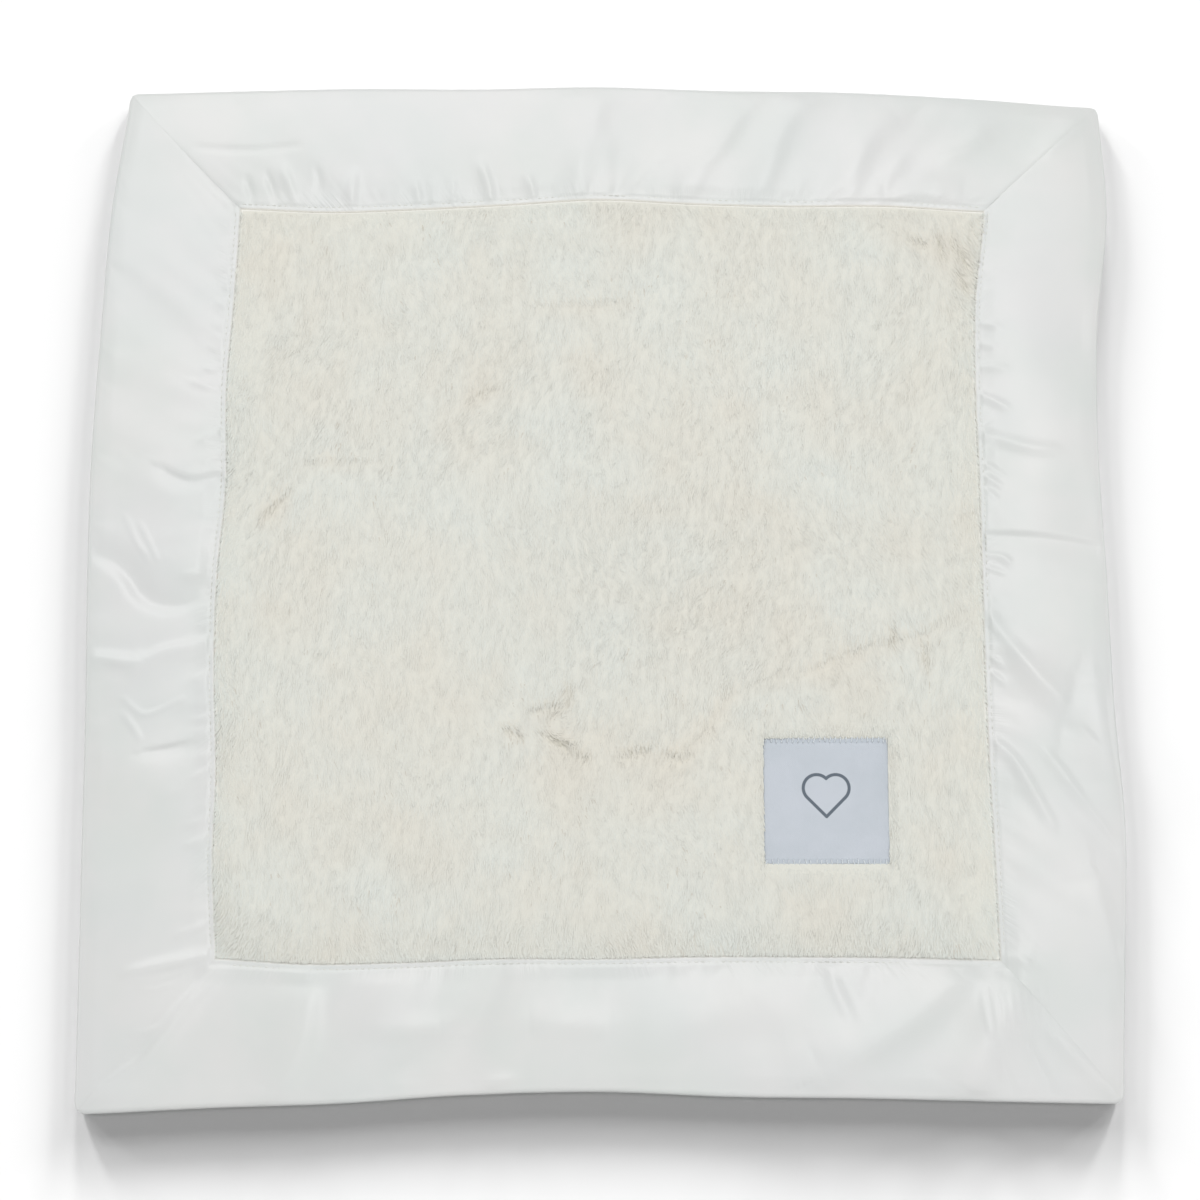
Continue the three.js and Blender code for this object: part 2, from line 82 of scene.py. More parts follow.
# Folds of the satin, as (height, reach on the left of the line, reach on its right, points of the line)
SATIN_FOLDS = (
    # left strip, from the top down
    (0.45, 0.8, 1.6, ((-157, 84), (-154, 84), (-151, 84))),
    (0.5, 0.9, 2.0, ((-162, 79), (-156, 77), (-150, 76))),
    (0.5, 1.0, 2.0, ((-159, 54), (-154, 57), (-150, 59))),
    (-1.1, 1.5, 3.6, ((-173, 43), (-168, 40), (-161, 38), (-150, 40))),
    (0.4, 0.8, 0.9, ((-186, 24), (-181, 13), (-178, 9), (-176, 5))),
    (0.35, 0.8, 0.9, ((-180, 21), (-176, 13), (-173, 6))),
    (-1.6, 5.5, 3.2, ((-197, 9), (-189, 5), (-183, -1), (-179, -7), (-172, -11), (-163, -11), (-155, -7))),
    (1.1, 2.0, 4.5, ((-179, -35), (-170, -30), (-159, -27), (-150, -26))),
    (1.3, 2.6, 3.0, ((-199, -32), (-190, -33), (-182, -34), (-179, -32))),
    (0.45, 0.8, 1.2, ((-184, -48), (-177, -54), (-171, -53), (-162, -48))),
    (0.4, 0.8, 1.2, ((-184, -54), (-180, -59), (-177, -64))),
    (-1.2, 0.9, 3.8, ((-176, -69), (-167, -67.5), (-159, -65.5))),
    (1.2, 2.6, 2.4, ((-179, -153), (-166, -150), (-157, -148), (-149, -146))),
    (0.3, 0.7, 0.9, ((-175, -156), (-166, -155), (-157, -152))),
    (0.3, 0.7, 0.9, ((-174, -159), (-168, -159), (-162, -157))),
    (0.3, 0.7, 0.9, ((-177, -175), (-171, -175), (-167, -173))),
    (0.7, 3.0, 4.0, ((-170, -183), (-161, -169), (-147, -153))),
    (0.35, 1.4, 2.2, ((-163, 0), (-158, 1), (-154, 1))),
    (0.35, 1.3, 2.2, ((-158, -41), (-155, -39), (-151, -38))),
    (0.3, 1.3, 2.2, ((-158, -57), (-154, -56), (-151, -55))),
    (0.35, 1.3, 2.2, ((-157, -79), (-153, -77), (-150, -75))),
    (0.3, 1.3, 2.2, ((-158, -97), (-154, -96), (-151, -94))),
    (0.35, 1.3, 2.2, ((-158, -105), (-154, -103), (-150, -101))),
    (0.4, 1.4, 2.4, ((-161, -139), (-156, -137), (-151, -134))),
    # right strip, from the top down
    (0.5, 1.0, 1.7, ((152, 103), (157, 102), (160, 101))),
    (0.5, 1.0, 1.7, ((151, 95), (154, 94), (158, 93))),
    (0.55, 1.1, 2.2, ((150, 85), (156, 85), (162, 84))),
    (0.8, 1.4, 2.4, ((149, 74), (155, 72), (162, 68))),
    (0.9, 2.0, 3.2, ((148, 59), (157, 56), (170, 52), (180, 51))),
    (0.5, 0.9, 1.3, ((149, 46), (155, 44), (160, 40))),
    (0.5, 0.9, 1.3, ((149, 41), (155, 39), (159, 35))),
    (0.45, 0.9, 1.3, ((149, 36), (154, 34), (157, 31))),
    (-1.2, 1.2, 12.0, ((149, 16.5), (164, 16), (179, 14.5), (197, 11.5))),
    (0.7, 1.2, 1.8, ((149, 9), (158, 8), (161, 5))),
    (0.5, 0.9, 1.3, ((149, 4), (154, 3), (159, 1))),
    (0.7, 2.6, 2.4, ((149, -11), (158, -24), (169, -38), (181, -51))),
    (1.4, 11.0, 5.0, ((157, -26), (170, -41), (185, -57))),
    (0.4, 0.8, 1.2, ((151, -31), (154, -33), (157, -36))),
    (0.4, 0.8, 1.2, ((151, -37), (154, -39), (157, -42))),
    (-0.9, 6.0, 2.0, ((185, -38), (182, -50), (178, -62))),
    (1.5, 3.5, 9.0, ((194, -42), (196, -61), (199, -80))),
    (0.9, 1.8, 3.2, ((152, -64), (158, -69), (163, -76), (168, -85), (174, -97))),
    (0.8, 1.7, 3.2, ((172, -68), (179, -77), (187, -90), (196, -102))),
    (-0.7, 1.6, 5.0, ((182, -84), (193, -100), (198, -108))),
    (1.5, 3.5, 9.0, ((190, -118), (193, -136), (197, -151))),
    (0.5, 2.0, 2.0, ((153, -147), (160, -148), (166, -151))),
    # top strip, from the left
    (-0.4, 1.3, 1.3, ((-163, 176), (-140, 175), (-121, 177))),
    (-0.6, 1.6, 1.6, ((-142, 163), (-141, 158), (-140, 152))),
    (0.7, 2.2, 2.2, ((-128, 168), (-125, 160), (-122, 152))),
    (-0.6, 1.6, 1.6, ((-134, 165), (-132, 159), (-130, 152))),
    (-0.5, 1.6, 1.6, ((-114, 167), (-113, 162), (-113, 156))),
    (0.9, 2.4, 2.4, ((-99, 165), (-100, 157), (-100, 150))),
    (0.5, 1.5, 1.5, ((-74, 161), (-73, 156), (-73, 151))),
    (0.5, 1.5, 1.5, ((-67, 162), (-67, 156), (-66, 151))),
    (0.5, 1.5, 1.5, ((-59, 162), (-59, 157), (-58, 151))),
    (0.9, 2.2, 2.2, ((-48, 170), (-45, 161), (-43, 152))),
    (0.5, 1.8, 1.8, ((-29, 164), (-27, 159), (-26, 153))),
    (0.7, 5.0, 5.0, ((-8, 152), (-7, 173), (0, 194))),
    (-0.6, 5.0, 7.0, ((7, 153), (8, 168), (13, 178), (33, 187))),
    (0.7, 3.5, 4.5, ((13, 152), (17, 162), (27, 172))),
    (1.1, 8.0, 4.5, ((34, 153), (41, 168), (49, 177), (57, 190), (64, 196))),
    (1.0, 6.5, 4.5, ((64, 152), (69, 168), (73, 180), (79, 190), (86, 195))),
    (1.2, 8.0, 5.0, ((101, 152), (103, 165), (107, 176), (112, 182), (122, 188))),
    (0.6, 3.0, 3.0, ((115, 152), (116, 161), (122, 170))),
    (1.0, 9.0, 3.0, ((114, 155), (130, 157), (147, 155))),
    (0.9, 5.0, 5.0, ((136, 172), (148, 176), (158, 183))),
    (0.9, 5.0, 4.0, ((178, 174), (187, 180), (196, 186))),
    # bottom strip, from the left
    (0.9, 4.0, 1.7, ((-144, -151), (-157, -166), (-169, -182), (-178, -189), (-190, -198))),
    (1.6, 5.0, 12.0, ((-110, -158), (-112, -177), (-121, -197))),
    (0.9, 5.0, 4.0, ((-86, -175), (-73, -174), (-60, -173))),
    (-1.2, 7.0, 5.0, ((-36, -152), (-48, -174), (-64, -184), (-90, -197))),
    (0.6, 2.5, 2.0, ((-44, -194), (-38, -193), (-32, -192))),
    (0.9, 7.0, 6.0, ((-26, -173), (-12, -172), (4, -172))),
    (-0.6, 7.0, 9.0, ((22, -190), (45, -180), (70, -176))),
    (2.5, 6.0, 12.0, ((137, -153), (120, -169), (103, -180), (84, -190))),
    (-0.7, 3.0, 3.0, ((87, -150), (90, -159), (95, -170))),
    (2.5, 7.0, 10.0, ((160, -156), (150, -177), (139, -197))),
    (-0.5, 2.0, 2.5, ((148, -177), (152, -188), (156, -198))),
    (-0.5, 2.0, 2.5, ((160, -177), (166, -188), (171, -198))),
    (0.8, 3.0, 3.0, ((170, -174), (183, -188), (196, -200))),
)
PLEAT_PLACES = (145, 149, 152, 155.5, 159, 162, 165, 168)
PLEAT_ENDS = (-157, -177)
PLEAT_HEIGHT = 0.3
PLEAT_WIDTH = 0.9

# Places where the pile parts, as (depth, points of the line)
PARTINGS = (
    (2.0, ((-37, -60), (-33, -61.5), (-29, -63.5))),
    (2.4, ((-22, -61.5), (-17, -64.5), (-13, -66.5), (-9, -67))),
    (1.6, ((-10, -69), (-6, -71), (-3, -72))),
    (1.5, ((-28, -54), (-23, -52.5), (-18, -51.5), (-12, -51))),
    (1.3, ((-12, -42), (-11.5, -46), (-11, -50))),
    (1.3, ((-20, -58), (-19, -55), (-16, -54), (-14, -56.5))),
    (1.7, ((8, -71), (15, -69), (21, -68))),
    (1.4, ((25, -69.5), (32, -71.5), (35, -69.5))),
    (0.7, ((141, -14), (123, -24), (105, -28), (80, -38))),
    (0.3, ((80, -38), (51, -46), (43, -59), (25, -74))),
    (1.5, ((113, -20), (114, -24), (113, -28))),
    (1.5, ((125, -28), (126, -33), (127, -38))),
    (1.4, ((-121, 34), (-126, 28), (-131, 23))),
    (0.5, ((-117, 45), (-100, 45), (-84, 45))),
    (0.9, ((-52, 68), (-47, 72), (-39, 75))),
    (0.4, ((-28, 108), (-8, 109), (12, 110))),
    (1.6, ((124, 137), (128, 135), (131, 133))),
    (1.5, ((135, 138), (136.5, 133), (138, 127))),
    (1.7, ((141, 136), (144, 131), (148, 124))),
    (1.4, ((143, 124), (145, 120), (147, 115))),
)
WHORL = (-16, -58)


def ramp(value, start, end):
    """0 up to the start, 1 from the end on, and even between them."""
    return np.clip((value - start) / (end - start), 0, 1)


def hill(distance, reach):
    """1 at no distance, falling away smoothly over the reach."""
    return np.exp(-(distance / reach) ** 2)


def between(values, at, axis=0):
    """Smooth values between evenly spaced ones along an axis, at places counted in steps from the first."""
    values = np.moveaxis(np.asarray(values, float), axis, 0)
    i = np.clip(np.floor(at).astype(int), 0, len(values) - 2)
    t = (at - i).reshape(np.shape(at) + (1,) * (values.ndim - 1))
    p1, p2 = values[i], values[i + 1]
    p0 = values[np.clip(i - 1, 0, None)]
    p3 = values[np.clip(i + 2, None, len(values) - 1)]
    out = p1 + 0.5 * t * (p2 - p0 + t * (2 * p0 - 5 * p1 + 4 * p2 - p3 + t * (3 * (p1 - p2) + p3 - p0)))
    return np.moveaxis(out, 0, axis) if axis else out


def row_value(row, place):
    """Smooth value of a row of evenly spaced values at places from -1 to 1."""
    return between(row, (np.clip(place, -1, 1) + 1) / 2 * (len(row) - 1))


def smooth_knots(knots, distance):
    """Smooth value through knots of (distance, value) that needn't be evenly spaced."""
    at, values = (np.array(column, float) for column in zip(*knots))
    slopes = np.gradient(values, at)
    i = np.clip(np.searchsorted(at, distance) - 1, 0, len(at) - 2)
    width = at[i + 1] - at[i]
    t = np.clip((distance - at[i]) / width, 0, 1)
    rise = t * t * (3 - 2 * t)
    return (values[i] * (1 - rise) + values[i + 1] * rise
            + slopes[i] * width * t * (1 - t) ** 2 - slopes[i + 1] * width * t * t * (1 - t))


def outward_shift(side, distance, across):
    """How far a side's cloth lies outwards of the flat pattern."""
    painted_light_at_seam = BINDING * row_value(SEAM_WAVE_SHARES[side], across / PLUSH_HALF)
    at_edge = BINDING * row_value(EDGE_WAVE_SHARES[side], across / BLANKET_HALF)
    inside = ramp(distance, PLUSH_HALF * STILL_SHARE, PLUSH_HALF) * painted_light_at_seam
    border = np.clip((distance - PLUSH_HALF) / BINDING, 0, None)
    return np.where(distance < PLUSH_HALF, inside, painted_light_at_seam + border * (at_edge - painted_light_at_seam))


def laid(x, y):
    """Where points of the flat pattern come to lie, in the row frame, in millimetres."""
    start = BLANKET_HALF - CORNER_RADIUS
    p = np.clip((np.abs(x) - start) / CORNER_RADIUS, 0, None)
    q = np.clip((np.abs(y) - start) / CORNER_RADIUS, 0, None)
    turning = (p > 0) & (q > 0)
    ax = np.where(turning, start + CORNER_RADIUS * p * np.sqrt(np.clip(1 - q * q / 2, 0, 1)), np.abs(x))
    ay = np.where(turning, start + CORNER_RADIUS * q * np.sqrt(np.clip(1 - p * p / 2, 0, 1)), np.abs(y))
    x, y = np.sign(x) * ax, np.sign(y) * ay
    shift_x = np.where(x < 0, outward_shift("left", ax, y), outward_shift("right", ax, y))
    shift_y = np.where(y < 0, outward_shift("bottom", ay, x), outward_shift("top", ay, x))
    return x + np.sign(x) * shift_x + SHIFT[0], y + np.sign(y) * shift_y + SHIFT[1]


label_low, label_high = (np.array(corner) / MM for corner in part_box("label"))
label_middle = (label_low + label_high) / 2
SHIFT = label_middle[:2] - LABEL_CENTRE


def turned(side, x, y):
    """A point of the top side's pattern, turned to another side."""
    quarter = SIDES.index(side) * math.pi / 2
    c, s = round(math.cos(quarter)), round(math.sin(quarter))
    return x * c - y * s, x * s + y * c


def soft_noise(x, y, size, seed):
    """Smooth noise from about -1 to 1 at places in millimetres, with features of the given size."""
    lattice = np.random.default_rng(seed).uniform(-1, 1, (128, 128))
    c, s = math.cos(seed), math.sin(seed)
    u, v = (x * c - y * s) / size + 64.3, (x * s + y * c) / size + 64.7
    i, j = np.floor(u).astype(int), np.floor(v).astype(int)
    p, q = u - i, v - j
    p, q = p * p * (3 - 2 * p), q * q * (3 - 2 * q)
    low = lattice[i % 128, j % 128] * (1 - p) + lattice[(i + 1) % 128, j % 128] * p
    high = lattice[i % 128, (j + 1) % 128] * (1 - p) + lattice[(i + 1) % 128, (j + 1) % 128] * p
    return 1.4 * (low * (1 - q) + high * q)


def smooth_line(points, steps=24):
    """Points along a smooth line through the given ones, in the row frame."""
    return row_value(np.array(points, float) + SHIFT, np.linspace(-1, 1, steps))


def beside_line(x, y, line):
    """Distance to a line, positive on its left, and the place along it from 0 to 1."""
    start, run = line[:-1], np.diff(line, axis=0)
    best = np.full(x.shape, 1e9)
    side = np.zeros(x.shape)
    along = np.zeros(x.shape)
    for k, ((ax, ay), (dx, dy)) in enumerate(zip(start, run)):
        t = np.clip(((x - ax) * dx + (y - ay) * dy) / (dx * dx + dy * dy), 0, 1)
        ox, oy = x - ax - t * dx, y - ay - t * dy
        gap = np.hypot(ox, oy)
        nearer = gap < best
        best = np.where(nearer, gap, best)
        side = np.where(nearer, np.sign(dx * oy - dy * ox), side)
        along = np.where(nearer, (k + t) / len(run), along)
    return best * side, along


# Camera, as the photograph was taken
CAMERA_DISTANCE = 0.858
CAMERA_ELEVATION = math.radians(80)
CAMERA_LENS = 65.4
CAMERA_SHIFT = (0.0008, -0.0183)
camera = bpy.data.cameras.new("camera")
camera_object = bpy.data.objects.new("camera", camera)
scene.collection.objects.link(camera_object)
camera_object.location = (SHIFT[0] * MM, SHIFT[1] * MM - CAMERA_DISTANCE * math.cos(CAMERA_ELEVATION),
                          CAMERA_DISTANCE * math.sin(CAMERA_ELEVATION))
camera_object.rotation_euler = (math.pi / 2 - CAMERA_ELEVATION, 0, 0)
camera.lens = CAMERA_LENS
camera.sensor_width = 36
camera.shift_x, camera.shift_y = CAMERA_SHIFT
scene.camera = camera_object
scene.view_settings.view_transform = "Standard"


# Meshes

UV_NAME = "pattern"
# Millimetres of cloth to 1 on its map
MAP_SPAN = 450.0


def new_object(name, data):
    piece = bpy.data.objects.new(name, data)
    scene.collection.objects.link(piece)
    return piece


def run_lengths(points, axis):
    """Mean lengths from a grid's first line to each line along an axis, as the map counts them."""
    steps = np.linalg.norm(np.diff(points, axis=axis), axis=2).mean(1 - axis)
    return np.concatenate([[0], np.cumsum(steps)]) / MAP_SPAN


def picked(made, kind):
    """The vertices, edges or faces that a mesh tool made."""
    return [part for part in made["geom"] if isinstance(part, kind)]


def grid_object(name, points):
    """A grid of cloth bent to rows of points, in millimetres. Its map runs along it and across it."""
    rows, columns = points.shape[0] - 1, points.shape[1] - 1
    bm = bmesh.new()
    bmesh.ops.create_grid(bm, x_segments=columns, y_segments=rows, size=1.0)
    mesh = bpy.data.meshes.new(name)
    bm.to_mesh(mesh)
    bm.free()
    flat = np.empty(len(mesh.vertices) * 3, np.float32)
    mesh.vertices.foreach_get("co", flat)
    flat = flat.reshape(-1, 3)
    j = np.rint((flat[:, 0] + 1) / 2 * columns).astype(int)
    i = np.rint((flat[:, 1] + 1) / 2 * rows).astype(int)
    mesh.vertices.foreach_set("co", (points[i, j] * MM).astype(np.float32).ravel())
    corner = np.empty(len(mesh.loops), np.int32)
    mesh.loops.foreach_get("vertex_index", corner)
    places = np.stack([run_lengths(points, 1)[j[corner]], run_lengths(points, 0)[i[corner]]], 1)
    mesh.uv_layers.new(name=UV_NAME).data.foreach_set("uv", places.astype(np.float32).ravel())
    mesh.polygons.foreach_set("use_smooth", np.ones(len(mesh.polygons), bool))
    mesh.update()
    return new_object(name, mesh), i, j


def thicken(piece, thickness):
    wall = piece.modifiers.new("thickness", "SOLIDIFY")
    wall.thickness = thickness * MM
    wall.offset = -1
    solid = bpy.data.meshes.new_from_object(piece.evaluated_get(bpy.context.evaluated_depsgraph_get()))
    piece.modifiers.clear()
    piece.data = solid
    solid.set_sharp_from_angle(angle=math.radians(60))


# Satin binding, simulated as four strips sewn a little too long to their seams

STRIP_COLUMNS = 160
LEAF_ROWS = 20
FOLD_ROWS = 4
EXCESS = 0.011
CREASE_SHARES = {"top": 0.13, "left": 0.16, "bottom": 0.09, "right": 0.1}
SEED_LEANS = {"top": 0.45, "left": -0.2, "bottom": 0.5, "right": 0.35}
SEED_HEIGHTS = {"top": 0.9, "left": 0.8, "bottom": 0.9, "right": 0.7}
SEAM_HELD_FROM = 46.0
RIM_HELD_TO = 4.0
RIM_HOLD = 0.3
SIMULATION_FRAMES = 30
SEWN_FRAME = 12
CLOTH_SETTINGS = {
    "quality": 6, "mass": 0.05, "tension_stiffness": 25, "compression_stiffness": 25, "shear_stiffness": 12,
    "bending_stiffness": 3, "tension_damping": 10, "compression_damping": 10, "shear_damping": 10,
    "bending_damping": 0.5, "air_damping": 2, "vertex_group_mass": "held", "pin_stiffness": 1,
}
leaf_distances = np.linspace(BINDING, FOLD_RADIUS, LEAF_ROWS + 1)


def strip_points(side, distances, heights, columns):
    """Rows of points along a strip at distances from the blanket's edge, with a height for each row."""
    places = np.linspace(-1, 1, columns + 1)
    rows = []
    for distance, height in zip(distances, heights):
        reach = BLANKET_HALF - distance
        x, y = laid(*turned(side, places * (reach - 0.01), np.full_like(places, reach)))
        rows.append(np.stack([x, y, np.full_like(places, height)], 1))
    return np.array(rows)


def strip_section():
    """Distances from the edge and heights from the seam to the underside of the fold, for the simulation."""
    angles = [math.pi * (0.5 + (k + 1) / 6) for k in range(FOLD_ROWS)]
    distances = [*leaf_distances, *(FOLD_RADIUS * (1 + math.cos(a)) for a in angles)]
    heights = [*smooth_knots(FRONT_HEIGHTS, leaf_distances),
               *(FOLD_RADIUS * (1 + math.sin(a)) for a in angles)]
    return np.array(distances), np.array(heights)


def seeded_strip(side):
    """A strip before it's simulated, with small waves for its folds to start from."""
    distances, heights = strip_section()
    points = strip_points(side, distances, heights, STRIP_COLUMNS)
    lean, offset = SEED_LEANS[side], SIDES.index(side) * 31.7
    for i, s in enumerate(distances):
        u = np.linspace(-1, 1, STRIP_COLUMNS + 1) * (BLANKET_HALF - s)
        ends = ramp(BLANKET_HALF - s - np.abs(u), 0, 14)
        fade = ramp(s, 47, 39) * ramp(s, 0, 8)
        near_seam = 0.6 * math.exp(-(BINDING - s) / 14)
        for j, along in enumerate(u):
            broad = noise.noise(Vector(((along + lean * s) / 22, s / 60, offset)))
            fine = noise.noise(Vector(((along + 2 * lean * s) / 8, s / 40, offset + 5)))
            points[i, j, 2] += fade * ends[j] * SEED_HEIGHTS[side] * (broad + near_seam * fine)
    return points


def loose_cloth(side, points):
    """A strip as cloth that starts longer than its seam and is drawn in to it, held at its edges."""
    distances, _ = strip_section()
    loose = points.copy()
    spare = EXCESS * (0.5 + 0.5 * ramp(distances[:, None], 4, 38))
    loose[:, :, 0 if side in ("top", "bottom") else 1] *= 1 + spare
    piece, i, j = grid_object("cloth_" + side, loose)
    piece.shape_key_add(name="Basis")
    sewn = piece.shape_key_add(name="Sewn")
    sewn.data.foreach_set("co", (points[i, j] * MM).ravel())
    for value, at in ((0, 1), (1, SEWN_FRAME)):
        sewn.value = value
        sewn.keyframe_insert("value", frame=at)
    held = np.where(distances >= SEAM_HELD_FROM, 1.0, np.where(distances < RIM_HELD_TO, RIM_HOLD, 0.0))
    held[-1] = 1
    weights = np.where((j == 0) | (j == STRIP_COLUMNS), 1.0, held[i])
    group = piece.vertex_groups.new(name=CLOTH_SETTINGS["vertex_group_mass"])
    for vertex, weight in enumerate(weights.tolist()):
        if weight:
            group.add([vertex], weight, "REPLACE")
    cloth = piece.modifiers.new("cloth", "CLOTH")
    for key, value in CLOTH_SETTINGS.items():
        setattr(cloth.settings, key, value)
    cloth.settings.effector_weights.gravity = 0
    cloth.collision_settings.use_collision = False
    cloth.point_cache.frame_start = 1
    cloth.point_cache.frame_end = SIMULATION_FRAMES
    return piece, i, j


def simulate_strips(strips):
    """Runs the cloth of all four strips at once, and keeps a share of the creases that it makes."""
    pieces = {side: loose_cloth(side, points) for side, points in strips.items()}
    for at in range(1, SIMULATION_FRAMES + 1):
        scene.frame_set(at)
    evaluated = bpy.context.evaluated_depsgraph_get()
    distances, heights = strip_section()
    inward = (1 - np.abs(np.linspace(-1, 1, STRIP_COLUMNS + 1))) * BLANKET_HALF
    settled = {}
    for side, (piece, i, j) in pieces.items():
        result = piece.evaluated_get(evaluated).to_mesh()
        co = np.empty(len(result.vertices) * 3, np.float32)
        result.vertices.foreach_get("co", co)
        points = np.empty_like(strips[side])
        points[i, j] = co.reshape(-1, 3) / MM
        calm = strip_points(side, distances, heights, STRIP_COLUMNS)
        share = CREASE_SHARES[side] * (1 + 1.2 * np.exp(-np.clip(BINDING - distances, 0, None) / 9))
        share = share[:, None] * (0.35 + 0.65 * ramp(inward, 0, 60))
        settled[side] = calm + share[:, :, None] * (points - calm)
        piece.evaluated_get(evaluated).to_mesh_clear()
    for piece, _, _ in pieces.values():
        mesh = piece.data
        bpy.data.objects.remove(piece)
        bpy.data.meshes.remove(mesh)
    scene.frame_set(1)
    return settled


strips = {side: seeded_strip(side) for side in SIDES}
strips = simulate_strips(strips)

FINE_COLUMNS = 400
SEAM_STEPS = (50.0, 49.5, 49.0, 48.5, 48.0, 47.5, 47.0, 46.4, 45.7)
LEAF_STEPS = 38
FOLD_STEPS = 8
BACK_STEPS = (2.5, 6.0, 12.0, 20.0, 28.0, 34.0, 39.0, 43.0, 46.0, 48.0, 50.0)
BACK_TURNS = (1.25, 1.34, 1.43)
HEM = ((46.0, 3.05), (48.6, 3.1), (49.7, 3.2), (50.15, 3.6))
UNEVENNESS = 0.5
GATHER_HEIGHT = 0.2
THREAD_DENT = 0.18
HEM_DROP = 0.3
PLUSH_CLEARANCE = 0.45
# How deep each corner's seam is drawn in, near the plush and near the blanket's corner
MITRE_DEPTHS = {"top left": (0.4, 0.0), "top right": (0.3, 0.18), "bottom left": (0.0, 0.0),
                "bottom right": (0.1, 0.1)}
MITRE_WIDTH = 0.9
STRIP_ENDS = {"top": ("top right", "top left"), "left": ("top left", "bottom left"),
              "bottom": ("bottom left", "bottom right"), "right": ("bottom right", "top right")}

# The plush and the backing lie flat under the satin, as (distance from the blanket's edge, height) each
PANEL_EDGE = BLANKET_HALF - 3.2
BACKING_HEIGHTS = ((3.0, 1.3), (34.0, 1.1), (44.0, 1.6), (50.0, 1.65), (56.0, 0.7), (64.0, 0.5), (72.0, 0.5),
                   (90.0, 0.5), (200.0, 0.5))
KNIT_HEIGHTS = ((3.0, 1.2), (12.0, 1.6), (44.0, 1.3), (50.0, 1.15), (60.0, 1.3), (70.0, 1.3), (90.0, 1.3),
                (200.0, 1.3))
RIPPLE_HEIGHT = 0.18
BACKING_THICKNESS = 0.4
KNIT_THICKNESS = 0.8


def sheet_points(lines, height):
    x, y = np.meshgrid(lines, lines)
    px, py = laid(x, y)
    return np.stack([px, py, height(x, y)], 2)


def from_edge(x, y):
    return BLANKET_HALF - np.maximum(np.abs(x), np.abs(y))


def backing_top(x, y):
    s = from_edge(x, y)
    ripple = ramp(s, 60, 75) * RIPPLE_HEIGHT * (1 + soft_noise(x, y, 40, 61))
    return smooth_knots(BACKING_HEIGHTS, s) + ripple


def ground_top(x, y):
    return backing_top(x, y) + smooth_knots(KNIT_HEIGHTS, from_edge(x, y))


def fold_heights(x, y):
    """Height that the placed folds and pleats add."""
    rise = np.zeros_like(x)
    for height, left, right, points in SATIN_FOLDS:
        gap, along = beside_line(x, y, smooth_line(points, 14))
        taper = np.clip(np.sin(math.pi * (0.06 + 0.88 * along)), 0, 1) ** 0.6
        rise += height * taper * hill(gap, np.where(gap > 0, left, right))
    top, bottom = PLEAT_ENDS
    for k, place in enumerate(PLEAT_PLACES):
        knots = ((place, top), (place + 0.5, (top + bottom) / 2), (place + 2, bottom - 2 * (k % 3)))
        gap, along = beside_line(x, y, smooth_line(knots))
        rise += PLEAT_HEIGHT * np.sin(math.pi * along) * hill(gap, PLEAT_WIDTH)
    return rise


def over_plush(side, along, s):
    """Least height of the satin over the plush ground at places of a strip."""
    flat = turned(side, along, BLANKET_HALF - s + 0 * along)
    return ground_top(*[np.sign(a) * np.minimum(np.abs(a), PANEL_EDGE) for a in flat]) + PLUSH_CLEARANCE


def shape_satin(side, x, y, z, rows, s):
    """Adds to a strip's heights, in place, what its cloth does. s is the distance from the blanket's edge."""
    place = np.linspace(-1, 1, FINE_COLUMNS + 1)[None, :]
    along = place * (BLANKET_HALF - s)
    seed = 20 + SIDES.index(side)
    z += UNEVENNESS * (ramp(s, 46.5, 42.5) * ramp(s, 2, 7)) * soft_noise(x, y, 30, 20)
    gathers = soft_noise((along + 0.6 * SEED_LEANS[side] * s) * 3.2, s * 0.8, 12, seed + 10)
    patches = np.clip(0.4 + soft_noise(along, s * 0, 26, seed + 20), 0, 1.2)
    z += GATHER_HEIGHT * gathers * patches * np.exp(-np.abs(46 - s) / 6) * ramp(s, 49, 47)
    before_turn = ramp(rows, LEAF_ROWS + 2, LEAF_ROWS)[:, None]
    z += fold_heights(x, y) * ramp(s, 49.5, 47) * ramp(s, 0.5, 3.5) * before_turn
    z -= THREAD_DENT * hill(s - (BINDING - STITCH_INSET), 0.6)
    z -= HEM_DROP * ramp(s, 49, 50) ** 2
    last, first = STRIP_ENDS[side]
    from_mitre = (1 - np.abs(place)) * (BLANKET_HALF - s) / math.sqrt(2)
    for end, where in ((first, place < 0), (last, place > 0)):
        inner, outer = MITRE_DEPTHS[end]
        depth = outer + (inner - outer) * ramp(s, 12, 38)
        z -= np.where(where, depth * ramp(s, 1, 4) * np.exp(-(from_mitre / MITRE_WIDTH) ** 1.5), 0)
    least = over_plush(side, along, s)
    rise = z - least
    low = ramp(s, 4, 7) * ramp(s, 48.5, 47)
    z[:] = np.where(low > 0, least + np.logaddexp(0, rise * 4) / 4 * low + rise * (1 - low), z)


def back_leaf(side):
    """The strip's rows from the underside of the fold to the back leaf's inner edge."""
    turns = [math.pi * share for share in BACK_TURNS]
    distances = [FOLD_RADIUS * (1 + math.cos(a)) for a in turns] + list(BACK_STEPS)
    heights = [FOLD_RADIUS * (1 + math.sin(a)) for a in turns]
    heights += list(np.maximum(smooth_knots(BACK_HEIGHTS, np.array(BACK_STEPS)), 0))
    return strip_points(side, distances, heights, FINE_COLUMNS)


